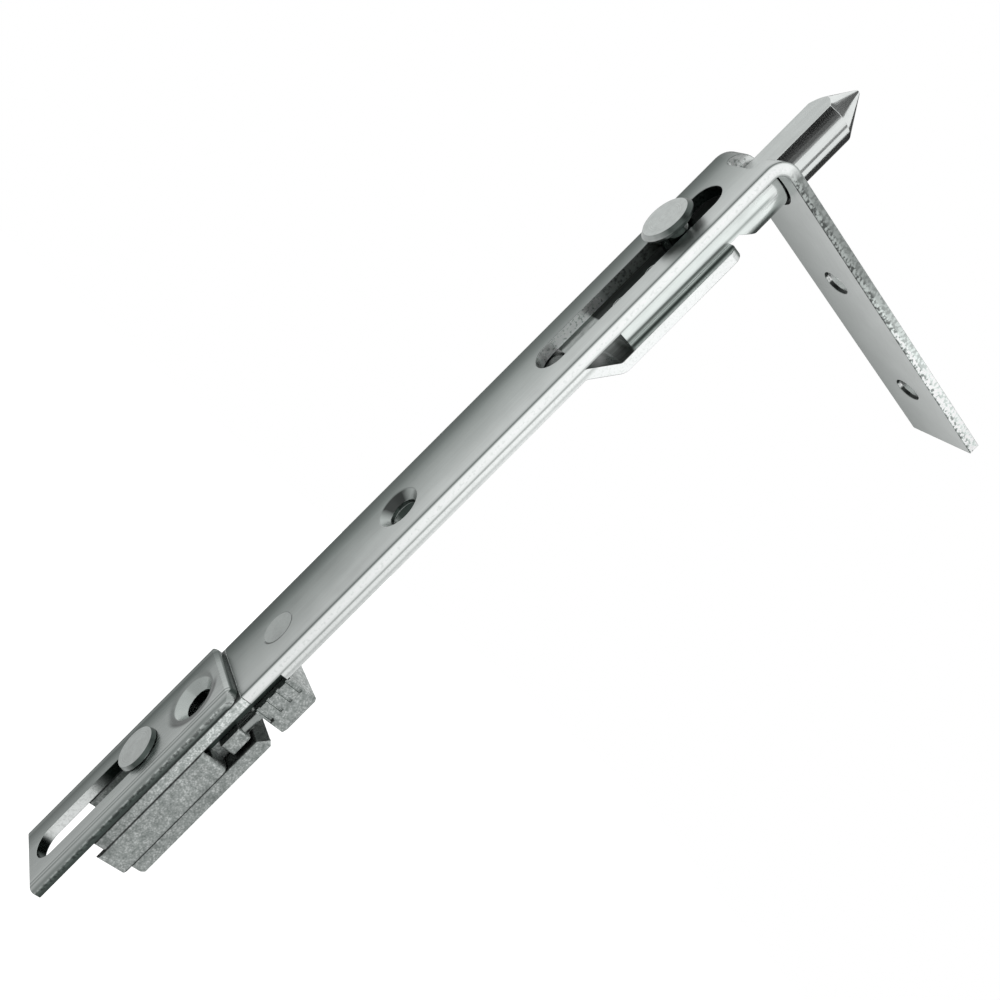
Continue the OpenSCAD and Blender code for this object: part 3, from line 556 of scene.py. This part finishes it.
def bolt_finish(name):
    """Drawn bar: bright round sides with lengthwise lines, painted reflection stripes and shade round the tail, a
    satin milled flat, and painted shade on the tail's front.
    """
    look = bpy.context.scene.shootbolt_finish
    material, t = metal(name, 0.16)
    lines, blotch = t.grain(*BOLT_GRAIN)
    cloud = t.grain(*BOLT_CLOUD)[0]
    height = t.axis("Z")
    flat = t.rise(t.product(t.normal("Y"), -1.0), 0.90, 0.97)
    inside = t.fall(height, *TAIL_ENDS)
    # Painted shade: the tail's front is nearly black from its lower end up to where it fades out just below the sash
    # corner.
    tail_shade = t.product(t.rise(height, *TAIL_SHADE_STARTS), t.fall(height, *TAIL_SHADE_FADES))
    # Painted reflections and shade round the tail's sides, set by which way each faces.
    painted_bands = t.tones(t.rise(t.normal("Y"), -0.4, 1.0), *TAIL_PAINTED_BANDS)

    round_side = t.mixed(inside, grey(look.bolt), grey(look.tail))
    round_side = t.mixed(inside, round_side, t.shaded(round_side, painted_bands))
    round_side = t.varied(t.varied(round_side, lines, 0.93, 1.04), cloud, 0.93, 1.03)
    outer_flat = t.varied(t.varied(grey(look.bolt_flat), lines, 0.92, 1.06), cloud, 0.96, 1.05)
    tail_front = t.mixed(tail_shade, t.varied(grey(look.lip), cloud, 0.5, 1.5),
                         t.varied(grey(look.tail_flat), lines, 0.4, 2.2))
    colour = t.mixed(flat, round_side, t.mixed(inside, outer_flat, tail_front))
    rough = t.calc("MAXIMUM", t.spread(height, *TAIL_SMOOTHS, 0.34, 0.14), t.product(flat, 0.38))
    t.coat(colour, t.calc("ADD", rough, t.spread(blotch, *NOISE, -0.03, 0.05)), lines, 0.0015 * MM)
    return material


def rod_finish(name):
    """Plated flat bar: pale sheared sides with painted shade at the front and on the narrower parts, darker wide
    faces with lengthwise lines and painted shade on the joggle, and a painted reflection across the front beside the
    tail.
    """
    look = bpy.context.scene.shootbolt_finish
    material, t = metal(name, 0.30)
    lines, blotch = t.grain(*ROD_GRAIN)
    height = t.axis("Z")
    aside = t.calc("ABSOLUTE", t.axis("X"))
    wide = t.varied(grey(look.rod), lines, 0.55, 1.35)
    # Painted shade: the wide faces darken along the joggle.
    wide = t.mixed(t.between(height, *JOGGLE_SHADE, 1.0 * MM), wide, t.shaded(wide, 0.42))
    # Painted reflection across the rod's front beside the tail.
    upper = t.product(t.fall(t.normal("Y"), *FRONTAL), t.rise(height, *REFLECTION_STARTS))
    wide = t.mixed(upper, wide, t.tones(t.rise(aside, *REFLECTION_WIDTH), *ROD_REFLECTION))
    side = t.tones(t.rise(t.axis("Y"), *ROD_DEPTH), *scaled(ROD_SIDE, look.rod_side))
    side = t.varied(side, t.speckle(*ROD_GRIT), 0.92, 1.03)
    # Painted shade: the narrower parts' sides are nearly black.
    side = t.mixed(t.rise(aside, *NARROW_SIDE_SHADE), grey(0.05), side)
    t.coat(t.mixed(t.rise(t.lean("X"), *SIDEWAYS), wide, side), t.spread(blotch, *NOISE, 0.24, 0.38), lines,
           0.006 * MM)
    return material


def rivet_finish(name, brightness, front):
    """Plain plated steel of rivets, screws and washers, with a faint mottle. Its front faces take their own tone."""
    material, t = metal(name, 0.26)
    lines, blotch = t.grain(*RIVET_GRAIN)
    colour = t.mixed(t.fall(t.normal("Y"), *FRONTAL), grey(brightness), grey(front))
    colour = t.varied(t.varied(colour, lines, 0.85, 1.10), blotch, 0.88, 1.10)
    t.coat(colour, t.spread(blotch, *NOISE, 0.20, 0.34), lines, 0.004 * MM, 0.4)
    return material


def turned_finish(name, centre, shoulder, brightness, shank):
    """Turned pin along Y: fine rings on the satin head, a painted highlight and painted shade on the head's rim, and
    a dark shank with a painted highlight behind the shoulder.
    """
    material, t = metal(name, 0.3)
    place = t.add("ShaderNodeTexCoord").outputs["Object"]
    centred = t.out("ShaderNodeMapping", Vector=place, Location=tuple(-centre))
    across = t.vectors("MULTIPLY", centred, (1.0, 0.0, 1.0)).outputs["Vector"]
    radius = t.vectors("LENGTH", across).outputs["Value"]
    rings = t.out("ShaderNodeTexNoise", noise_dimensions="1D", W=radius, Scale=5200.0, Detail=2.0)
    blotch = t.out("ShaderNodeTexNoise", Vector=centred, Scale=900.0, Detail=3.0)

    behind = t.rise(t.axis("Y"), shoulder - 0.15 * MM, shoulder + 0.05 * MM)
    # Painted highlight on the downward-facing part of the head's rim, and painted shade on the rest of the rim.
    lower = t.tones(t.rise(t.normal("Z"), -0.8, -0.3), (0.0, 1.2 * brightness), (1.0, 0.22 * brightness))
    head = t.mixed(t.rise(t.normal("Y"), -0.93, -0.85), grey(brightness), lower)
    # Painted highlight: a light streak on the shank where it faces the near side and slightly up.
    lit = t.product(t.rise(t.normal("X"), 0.3, 0.5), t.between(t.normal("Z"), 0.15, 0.50, 0.10))
    colour = t.mixed(behind, head, t.mixed(lit, grey(shank), grey(0.9)))
    colour = t.varied(t.varied(colour, rings, 0.90, 1.07), blotch, 0.88, 1.10)
    t.coat(colour, t.mixed(behind, t.spread(blotch, *NOISE, 0.28, 0.42), 0.12), rings, 0.004 * MM)
    return material


def casting_finish(name):
    """Zinc die casting: matt, with a fine speckle and dark seams where flange, body and cover part."""
    look = bpy.context.scene.shootbolt_finish
    material, t = metal(name, 0.5)
    grains = t.calc("MULTIPLY_ADD", t.speckle(*CAST_COARSE), 0.4, t.product(t.speckle(*CAST_FINE), 0.6))
    colour = t.tones(grains, (0.10, look.cast_dark), *scaled(CAST_TONES, look.cast_light))
    colour = t.varied(colour, t.grain(*CAST_CLOUD)[0], 0.86, 1.14)
    depth, height = t.axis("Y"), t.axis("Z")
    upper, parting, lower = (t.between(depth, y - SEAM, y + SEAM, 0.5 * SEAM)
                             for y in (HOUSING_LOW.y, 0.0, HOUSING_HIGH.y))
    seam = t.calc("MAXIMUM", t.calc("MAXIMUM", upper, parting), lower)
    dark = t.calc("SUBTRACT", 1.0, t.product(seam, 0.85))
    housing = t.fall(height, HOUSING_HIGH.z - 0.2 * MM, HOUSING_HIGH.z)
    fading = t.spread(height, HOUSING_HIGH.z, HOUSING_LOW.z, 1.8, 0.65)
    flange = t.mixed(t.rise(depth, *FLANGE_ENDS), fading, 1.0)
    colour = t.shaded(colour, t.mixed(housing, 1.0, t.product(flange, dark)))
    t.coat(colour, t.spread(grains, 0.1, 0.9, 0.58, 0.40), grains, 0.03 * MM)
    return material


# Geometry Nodes for the turned pieces, in millimetres inside the trees

# Heights of a dome's rings as shares of its own height, and the points of each ring
DOME_SHARES = (0.0, 0.2, 0.4, 0.6, 0.75, 0.88, 0.96, 0.995)
RING_POINTS = 72


def dome_stations(t, size, start):
    """Stations of a dome as wide as the head and as high as its depth, from its rim to nearly its top."""
    wide, high = size["Head radius"], size["Head depth"]
    squares = t.calc("ADD", t.calc("POWER", wide, 2.0), t.calc("POWER", high, 2.0))
    ball = t.calc("DIVIDE", squares, t.product(high, 2.0))
    stations = []
    for part in DOME_SHARES:
        lift = t.product(high, part)
        from_middle = t.calc("ADD", ball, t.calc("SUBTRACT", lift, high))
        radius = t.calc("SQRT", t.calc("SUBTRACT", t.calc("POWER", ball, 2.0), t.calc("POWER", from_middle, 2.0)))
        stations.append((t.calc("ADD", start, lift), radius))
    return stations


def by_number(t, values):
    """Value that belongs to a point's number."""
    node = t.add("GeometryNodeIndexSwitch", data_type="FLOAT")
    while len(node.index_switch_items) < len(values):
        node.index_switch_items.new()
    t.feed(t.out("GeometryNodeInputIndex"), node.inputs["Index"])
    for number, value in enumerate(values):
        t.feed(value, node.inputs[str(number)])
    return node.outputs["Output"]


def crossed_head(t, size, piece, back):
    """Piece with a cross sunk into its head, from two bars at its back."""
    cut = t.add("GeometryNodeMeshBoolean", operation="DIFFERENCE", solver="EXACT", Mesh_1=piece)
    for long_side, short_side in (("X", "Z"), ("Z", "X")):
        sides = {long_side: size["Cross length"], short_side: size["Cross width"],
                 "Y": t.product(size["Cross depth"], 2.0)}
        bar = t.out("GeometryNodeMeshCube", Size=t.out("ShaderNodeCombineXYZ", **sides))
        moved = t.out("GeometryNodeTransform", Geometry=bar, Translation=t.out("ShaderNodeCombineXYZ", Y=back))
        t.feed(moved, cut.inputs["Mesh 2"])
    return cut.outputs["Mesh"]


def turned_tree(name, sizes, profile, domed=False, crossed=False):
    """Rows of turned pieces: a profile spun round an axis that starts at each point of a grid and runs along +Y."""
    t, size, leave = new_group(
        name,
        {"Columns": 1, "Rows": 1, "Across": 0.0, "Pitch": 0.0, "Place": (0.0, 0.0, 0.0), "Turn": (0.0, 0.0, 0.0),
         "Material": None, **sizes},
        {"Geometry": "NodeSocketGeometry"}, "GeometryNodeTree",
    )

    def total_of(terms):
        """Sum of named sizes, each with its own factor."""
        total = 0.0
        for label, factor in terms.items():
            total = t.calc("MULTIPLY_ADD", size[label], factor, total)
        return total

    stations = [(total_of(place), total_of(radius)) for place, radius in profile]
    if domed:
        stations += dome_stations(t, size, stations[-1][0])
    places, radii = zip(*stations)
    line = t.out("GeometryNodeMeshLine", Count=len(stations))
    line = t.out("GeometryNodeSetPosition", Geometry=line,
                 Position=t.out("ShaderNodeCombineXYZ", Y=by_number(t, places)))
    ring = t.out("GeometryNodeCurvePrimitiveCircle", Resolution=RING_POINTS, Radius=1.0)
    piece = t.out("GeometryNodeCurveToMesh", Curve=t.out("GeometryNodeMeshToCurve", Mesh=line),
                  Profile_Curve=ring, Scale=by_number(t, radii), Fill_Caps=True)
    if crossed:
        piece = crossed_head(t, size, piece, places[-1])
    piece = t.out("GeometryNodeTransform", Geometry=piece, Rotation=size["Turn"])
    grid = t.out("GeometryNodeMeshGrid", Size_X=size["Across"], Size_Y=size["Pitch"], Vertices_X=size["Columns"],
                 Vertices_Y=size["Rows"])
    upright = t.out("GeometryNodeTransform", Geometry=grid, Rotation=(math.radians(90.0), 0.0, 0.0))
    rows = t.out("GeometryNodeInstanceOnPoints", Points=upright, Instance=piece)
    rows = t.out("GeometryNodeRealizeInstances", Geometry=rows)
    rows = t.out("GeometryNodeTransform", Geometry=rows, Translation=size["Place"], Scale=(MM, MM, MM))
    t.feed(t.out("GeometryNodeSetMaterial", Geometry=rows, Material=size["Material"]), leave["Geometry"])
    return t.tree


# Sizes in millimetres, and stations as (place along the axis, radius), both as sums of sizes with their factors
RIVET_SIZES = {"Shank radius": 1.6, "Shank depth": 6.0, "Head radius": 2.6, "Head depth": 1.3}
SCREW_SIZES = {"Shank radius": 1.1, "Shank depth": 4.1, "Head radius": 1.95, "Head depth": 0.85,
               "Cross length": 2.8, "Cross width": 0.5, "Cross depth": 0.45}
DOWEL_SIZES = {"Radius": 0.9, "Length": 9.6}
MUSHROOM_SIZES = {"Head radius": 4.9, "Head depth": 1.4, "Bevel": 0.7, "Shank radius": 3.3, "Shank depth": 3.95,
                  "Journal radius": 2.0, "Journal depth": 6.9, "Upset radius": 3.1, "Upset depth": 1.0}
STOP_SIZES = {"Head radius": 3.95, "Head depth": 0.9, "Shank radius": 3.1, "Shank depth": 4.45,
              "Journal radius": 2.0, "Journal depth": 3.6, "Upset radius": 2.7, "Upset depth": 0.6}


def stepped(head, upset_end):
    """Stations of a headed pin: the head's own, then shank, journal and upset end."""
    stations = list(head)
    reached = {"Head depth": 1}
    for part in ("Shank", "Journal", "Upset"):
        stations.append((dict(reached), {part + " radius": 1}))
        reached[part + " depth"] = 1
        stations.append((dict(reached), {part + " radius": 1}))
    stations[-1][1].update(upset_end)
    return stations


MUSHROOM_HEAD = [({}, {"Head radius": 1, "Bevel": -1}), ({"Bevel": 1}, {"Head radius": 1}),
                 ({"Head depth": 1}, {"Head radius": 1, "Bevel": -0.5})]
STOP_HEAD = [({}, {"Head radius": 1, "Head depth": -0.25}), ({"Head depth": 1}, {"Head radius": 1})]

# Each turned node: tree's title, sizes, stations, options, columns, rows, distance across, pitch, along +Z or not
TURNED = {
    "tail_rivets": ("Domed rivets", RIVET_SIZES,
                    [({}, {"Shank radius": 1}), ({"Shank depth": 1}, {"Shank radius": 1})],
                    {"domed": True}, 1, 2, 0.0, 7.4, False),
    "cover_screws": ("Cross screws", SCREW_SIZES,
                     [({}, {"Shank radius": 1}), ({"Shank depth": 1}, {"Shank radius": 1}),
                      ({"Shank depth": 1, "Head depth": 1}, {"Head radius": 1})],
                     {"crossed": True}, 2, 2, 11.2, 14.0, False),
    "locating_pins": ("Locating pins", DOWEL_SIZES, [({}, {"Radius": 1}), ({"Length": 1}, {"Radius": 1})],
                      {}, 2, 1, 10.8, 0.0, True),
    "mushroom_pin": ("Mushroom pin", MUSHROOM_SIZES,
                     stepped(MUSHROOM_HEAD, {"Upset depth": -0.5}), {}, 1, 1, 0.0, 0.0, False),
    "stop_pin": ("Stop pin", STOP_SIZES, stepped(STOP_HEAD, {}), {}, 1, 1, 0.0, 0.0, False),
}


# Making of the pieces

# Points closer than this become one, faces within the flat angle become one, and an edge counts as sharp from
# the sharp angle on
MERGE = 0.001 * MM
FLAT_ANGLE = math.radians(0.5)
SHARP_ANGLE = math.radians(24.0)


def placed(name, data):
    """New object in the scene."""
    thing = bpy.data.objects.new(name, data)
    bpy.context.scene.collection.objects.link(thing)
    return thing


def settled(piece):
    """Turns a piece's modifiers into its mesh."""
    graph = bpy.context.evaluated_depsgraph_get()
    plain = bpy.data.meshes.new_from_object(piece.evaluated_get(graph))
    piece.modifiers.clear()
    piece.data = plain
    return piece


def grown(node, material):
    """Plain mesh piece for a turned node, made by a tree with the node's own values."""
    title, sizes, profile, options, columns, rows, across, pitch, upright = TURNED[node]
    low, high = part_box(node)
    centre = middle(low, high)
    values = {
        "Columns": columns, "Rows": rows, "Across": across, "Pitch": pitch, "Material": material,
        "Place": (0.0, centre.y, low.z) if upright else (0.0, low.y, centre.z),
        "Turn": (math.radians(90.0 if upright else 0.0), 0.0, 0.0), **sizes,
    }
    piece = placed(node + "_grown", bpy.data.meshes.new(node + "_start"))
    modifier = piece.modifiers.new("Turned row", "NODES")
    modifier.node_group = turned_tree(title, sizes, profile, **options)
    for socket in modifier.node_group.interface.items_tree:
        if socket.in_out == "INPUT":
            modifier[socket.identifier] = values[socket.name]
    return settled(piece)


def eased(node, width, segments):
    """Copy of a CAD node with merged points, clean flat faces and rounded edges, standing for that node."""
    mesh = bpy.data.meshes.new(node + "_eased")
    work = bmesh.new()
    work.from_mesh(frame["nodes"][node].data)
    bmesh.ops.remove_doubles(work, verts=work.verts, dist=MERGE)
    bmesh.ops.dissolve_limit(work, angle_limit=FLAT_ANGLE, verts=work.verts, edges=work.edges)
    work.to_mesh(mesh)
    work.free()
    return rounded(placed(node + "_eased", mesh), width, segments)


def rounded(piece, width, segments):
    """Gives a plain piece smooth faces and rounded edges."""
    for face in piece.data.polygons:
        face.use_smooth = True
    piece.data.set_sharp_from_angle(angle=SHARP_ANGLE)
    bevel = piece.modifiers.new("Eased edges", "BEVEL")
    bevel.width = width
    bevel.segments = segments
    bevel.limit_method = "ANGLE"
    bevel.angle_limit = SHARP_ANGLE
    bevel.use_clamp_overlap = False
    bevel.harden_normals = True
    return piece


def kept_in_box(piece, node):
    """Settles a piece and keeps every point inside the CAD node's box."""
    low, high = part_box(node)
    for point in settled(piece).data.vertices:
        point.co = [min(max(value, low[axis]), high[axis]) for axis, value in enumerate(point.co)]
    return piece


def stand_in(piece, node, material):
    """Gives a piece its finish and lets it stand for a CAD node."""
    piece.data.materials.clear()
    piece.data.materials.append(material)
    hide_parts(node)
    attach(piece, frame["nodes"][node]["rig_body"])


class MakerBase:
    """What the making operators share. Each makes its pieces from the scene's settings."""

    bl_options = {"REGISTER", "UNDO"}

    def execute(self, context):
        scene = context.scene
        self.make(scene.shootbolt_edges, scene.shootbolt_finish, scene.shootbolt_stage)
        return {"FINISHED"}


class OBJECT_OT_shootbolt_face_plate(MakerBase, bpy.types.Operator):
    """Face plate with its leg"""

    bl_idname = "object.shootbolt_face_plate"
    bl_label = "Face plate"

    def make(self, edges, look, stage):
        side = scaled(PLATE_SIDE, look.side)
        material = strip_finish(
            "plate_steel", {"Front": PLATE_LOW.y, "Top": PLATE_HIGH.z, "Radius": BEND_OUTSIDE}, THICK,
            (PLATE_ACROSS, side, side, PLATE_WALLS), roughness=0.34, far_wall=0.06, wall_top=10.0 * MM,
            wall_rough=0.40, ring=(-107.1 * MM, 2.85 * MM, 3.30 * MM, 0.25))
        stand_in(eased("face_plate", edges.strip, edges.segments), "face_plate", material)


class OBJECT_OT_shootbolt_end_plate(MakerBase, bpy.types.Operator):
    """End plate over the coupling"""

    bl_idname = "object.shootbolt_end_plate"
    bl_label = "End plate"

    def make(self, edges, look, stage):
        thick = PLATE_LOW.y - END_LOW.y
        material = strip_finish(
            "end_steel", {"Front": END_LOW.y, "Top": END_HIGH.z, "Radius": 1.5 * thick}, thick,
            (END_ACROSS, END_SIDE, END_LOW_SIDE, END_WALLS), roughness=0.24, far_wall=0.42,
            wall_top=END_HIGH.z - 2.5 * MM, wall_rough=0.10, ring=(-124.5 * MM, 4.1 * MM, 5.8 * MM, 0.22))
        stand_in(eased("end_plate", edges.strip, edges.segments), "end_plate", material)


class OBJECT_OT_shootbolt_bolt(MakerBase, bpy.types.Operator):
    """Pointed bolt, drive rod and coupling slide"""

    bl_idname = "object.shootbolt_bolt"
    bl_label = "Bolt and rod"

    def make(self, edges, look, stage):
        bolt, rod = bolt_finish("bolt_steel"), rod_finish("rod_steel")
        stand_in(eased("shootbolt", 0.4 * edges.bar, edges.segments), "shootbolt", bolt)
        for node in ("drive_rod", "coupling_slide"):
            stand_in(eased(node, edges.bar, edges.segments), node, rod)


class OBJECT_OT_shootbolt_pins(MakerBase, bpy.types.Operator):
    """Mushroom pin and stop pin"""

    bl_idname = "object.shootbolt_pins"
    bl_label = "Pins"

    def make(self, edges, look, stage):
        for node, sizes in (("mushroom_pin", MUSHROOM_SIZES), ("stop_pin", STOP_SIZES)):
            low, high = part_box(node)
            shoulder = low.y + sizes["Head depth"] * MM
            material = turned_finish(node + "_steel", middle(low, high), shoulder, look.pin, look.shank)
            piece = rounded(grown(node, material), edges.turned, edges.segments)
            stand_in(piece, node, material)


class OBJECT_OT_shootbolt_fasteners(MakerBase, bpy.types.Operator):
    """Rivets, washers, screws and locating pins"""

    bl_idname = "object.shootbolt_fasteners"
    bl_label = "Fasteners"

    def make(self, edges, look, stage):
        ease = 0.6 * edges.turned
        plain = rivet_finish("rivet_steel", look.rivet, look.rivet)
        # Painted shade: the tail rivets' fronts take the tail flat's dark tone.
        shadowed = rivet_finish("rivet_steel_shadowed", look.rivet, look.tail_flat)
        for node in ("mushroom_washer", "guide_rivet", "guide_washer"):
            stand_in(eased(node, ease, edges.segments), node, plain)
        for node, material in (("tail_rivets", shadowed), ("cover_screws", plain), ("locating_pins", plain)):
            stand_in(rounded(grown(node, material), ease, edges.segments), node, material)


class OBJECT_OT_shootbolt_castings(MakerBase, bpy.types.Operator):
    """Guide block, housing body and housing cover"""

    bl_idname = "object.shootbolt_castings"
    bl_label = "Castings"

    def make(self, edges, look, stage):
        material = casting_finish("zinc_casting")
        for node in ("guide_block", "housing_body", "housing_cover"):
            piece = kept_in_box(eased(node, edges.cast, edges.segments), node)
            stand_in(piece, node, material)


# Stage

CAMERA_PLACE = Vector((171.75, -89.20, -67.52)) * MM
CAMERA_RIGHT = Vector((0.3550, 0.6122, 0.7066))
CAMERA_DOWN = Vector((0.3540, 0.6115, -0.7076))
CAMERA_LENS = 43.14
CAMERA_SENSOR = 36.0

# Soft boxes: name, place, size of a side. Their powers are in the settings
LAMPS = (("Side lamp", (0.62, 0.42, -0.05), 0.7), ("Top lamp", (-0.2, -0.5, 0.7), 0.8))

# Height of the near cards' lower edge over the sash corner, which the tail doesn't mirror then, and height of a
# card, both as shares of the cards' radius
CARD_LOW = 0.33
CARD_HIGH = 0.9

# Upright cards: name, first and last azimuth, share of the dark tone, lower edge
CARDS = (("Near card", -78.0, -45.0, 1.2, CARD_LOW), ("Near middle card", -45.0, -26.0, 2.8, CARD_LOW),
         ("Near outer card", -26.0, -8.0, 6.0, CARD_LOW), ("Near last card", -8.0, 0.0, 15.0, CARD_LOW),
         ("Thin card", 36.0, 50.0, 12.0, CARD_LOW), ("Far card", 74.0, 124.0, 2.0, 0.0),
         ("Side card", 124.0, 170.0, 8.0, 0.0))
CARD_STEPS = 8
UPPER_CARD_TONE = 7.0

# Half a side of the floor in metres, and its glow where the camera sees it
FLOOR_HALF = 3.0
FLOOR_SEEN = 0.75


def put_camera():
    """Camera at the photograph's angle, rolled so that the bolt points to the upper right."""
    data = bpy.data.cameras.new("Camera")
    data.lens = CAMERA_LENS
    data.sensor_width = CAMERA_SENSOR
    data.clip_start = 0.01
    camera = placed("Camera", data)
    right = CAMERA_RIGHT.normalized()
    up = (-CAMERA_DOWN - right * (-CAMERA_DOWN).dot(right)).normalized()
    turn = Matrix((right, up, right.cross(up))).transposed()
    camera.matrix_world = Matrix.Translation(CAMERA_PLACE) @ turn.to_4x4()
    bpy.context.scene.camera = camera


def soft_box(name, place, side, power, target):
    """Square lamp that faces a target and doesn't show to the camera."""
    data = bpy.data.lights.new(name, "AREA")
    data.shape = "RECTANGLE"
    data.size = data.size_y = side
    data.energy = power
    lamp = placed(name, data)
    lamp.location = place
    lamp.rotation_euler = (target - Vector(place)).to_track_quat("-Z", "Y").to_euler()
    lamp.visible_camera = False
    lamp.visible_glossy = False


def lit_card(name, points, faces, tone):
    """Stage card of an even tone that shows in nothing but reflections."""
    mesh = bpy.data.meshes.new(name)
    mesh.from_pydata(points, [], faces)
    card = placed(name, mesh)
    material = bpy.data.materials.new(name)
    material.use_nodes = True
    t = Nodes(material.node_tree)
    t.feed(t.out("ShaderNodeEmission", Color=tone), t.tree.nodes["Material Output"].inputs["Surface"])
    mesh.materials.append(material)
    for ray in ("camera", "diffuse", "transmission", "shadow"):
        setattr(card, "visible_" + ray, False)


def hang_card(name, from_azimuth, to_azimuth, radius, low, high, tone):
    """Upright card on an arc round the bolt. Its azimuths are in degrees."""
    points = []
    for step in range(CARD_STEPS + 1):
        turn = math.radians(from_azimuth + (to_azimuth - from_azimuth) * step / CARD_STEPS)
        points += [(radius * math.cos(turn), radius * math.sin(turn), height) for height in (low, high)]
    faces = [(2 * step, 2 * step + 2, 2 * step + 3, 2 * step + 1) for step in range(CARD_STEPS)]
    lit_card(name, points, faces, tone)


def square(half, level):
    """Corners of a level square round the Z axis."""
    return [(-half, -half, level), (half, -half, level), (half, half, level), (-half, half, level)]


def light_room(strength):
    """World: white where it is seen, and a softer light elsewhere."""
    world = bpy.data.worlds.new("Room")
    bpy.context.scene.world = world
    world.use_nodes = True
    t = Nodes(world.node_tree)
    background = t.tree.nodes["Background"]
    t.feed((1.0, 1.0, 1.0), background.inputs["Color"])
    path = t.add("ShaderNodeLightPath").outputs
    seen = t.calc("MAXIMUM", path["Is Camera Ray"], path["Is Glossy Ray"])
    seen = t.calc("MAXIMUM", seen, path["Is Transmission Ray"])
    t.feed(t.spread(seen, 0.0, 1.0, strength, 1.0), background.inputs["Strength"])


def lay_floor(drop, mirror):
    """Pale floor under the part. It looks white, keeps a soft shadow, and glows less where the metal mirrors it."""
    mesh = bpy.data.meshes.new("Floor")
    mesh.from_pydata(square(FLOOR_HALF, CAD_BOX[0][2] - drop), [], [(0, 1, 2, 3)])
    floor = placed("Floor", mesh)
    material = bpy.data.materials.new("Floor")
    material.use_nodes = True
    t = Nodes(material.node_tree)
    shader = t.tree.nodes["Principled BSDF"]
    for label, value in (("Base Color", 0.8), ("Roughness", 0.9), ("Specular IOR Level", 0.0)):
        t.feed(value, shader.inputs[label])
    path = t.add("ShaderNodeLightPath").outputs
    mirrored = t.product(path["Is Glossy Ray"], mirror)
    seen = t.product(t.calc("MAXIMUM", path["Is Camera Ray"], path["Is Transmission Ray"]), FLOOR_SEEN)
    glow = t.out("ShaderNodeEmission", Strength=t.calc("MAXIMUM", seen, mirrored))
    total = t.add("ShaderNodeAddShader")
    for value, socket in zip((shader.outputs["BSDF"], glow), total.inputs):
        t.feed(value, socket)
    t.feed(total.outputs[0], t.tree.nodes["Material Output"].inputs["Surface"])
    mesh.materials.append(material)


class OBJECT_OT_shootbolt_stage(MakerBase, bpy.types.Operator):
    """Camera, floor, room and lamps"""

    bl_idname = "object.shootbolt_stage"
    bl_label = "Stage"

    def make(self, edges, look, stage):
        bpy.context.scene.view_settings.view_transform = "Standard"
        put_camera()
        lay_floor(stage.floor_drop, stage.floor_glow)
        light_room(stage.room)
        target = middle(Vector(CAD_BOX[0]), Vector(CAD_BOX[1]))
        for (name, place, side), power in zip(LAMPS, (stage.side_lamp, stage.top_lamp)):
            soft_box(name, place, side, power, target)
        dark, ring = stage.card_tone, stage.card_radius
        high = (CARD_LOW + CARD_HIGH) * ring
        for name, start, end, part, low in CARDS:
            hang_card(name, start, end, ring, low * ring, high, part * dark)
        lit_card("Upper card", square(0.5 * ring, 2 * ring), [(0, 1, 2, 3)], UPPER_CARD_TONE * dark)


class VIEW3D_PT_shootbolt(bpy.types.Panel):
    """Panel that lists the settings and the makers"""

    bl_label = "Shootbolt"
    bl_space_type = "VIEW_3D"
    bl_region_type = "UI"
    bl_category = "Shootbolt"

    def draw(self, context):
        for settings in SETTINGS:
            group = getattr(context.scene, settings)
            box = self.layout.box()
            for name in group.__annotations__:
                box.prop(group, name)
        for maker in MAKERS:
            self.layout.operator(maker.bl_idname)


MAKERS = (
    OBJECT_OT_shootbolt_stage,
    OBJECT_OT_shootbolt_face_plate,
    OBJECT_OT_shootbolt_end_plate,
    OBJECT_OT_shootbolt_bolt,
    OBJECT_OT_shootbolt_pins,
    OBJECT_OT_shootbolt_fasteners,
    OBJECT_OT_shootbolt_castings,
)
SETTINGS = {
    "shootbolt_edges": ShootboltEdges,
    "shootbolt_finish": ShootboltFinish,
    "shootbolt_stage": ShootboltStage,
}


def register():
    """Registers the settings, the makers and the panel."""
    for name, group in SETTINGS.items():
        bpy.utils.register_class(group)
        setattr(bpy.types.Scene, name, PointerProperty(type=group))
    for cls in (*MAKERS, VIEW3D_PT_shootbolt):
        bpy.utils.register_class(cls)


def unregister():
    """Takes them away again."""
    for cls in (VIEW3D_PT_shootbolt, *reversed(MAKERS)):
        bpy.utils.unregister_class(cls)
    for name, group in SETTINGS.items():
        delattr(bpy.types.Scene, name)
        bpy.utils.unregister_class(group)


def main():
    """Makes the whole scene."""
    register()
    for maker in MAKERS:
        area, name = maker.bl_idname.split(".")
        getattr(getattr(bpy.ops, area), name)()


if __name__ == "__main__":
    main()
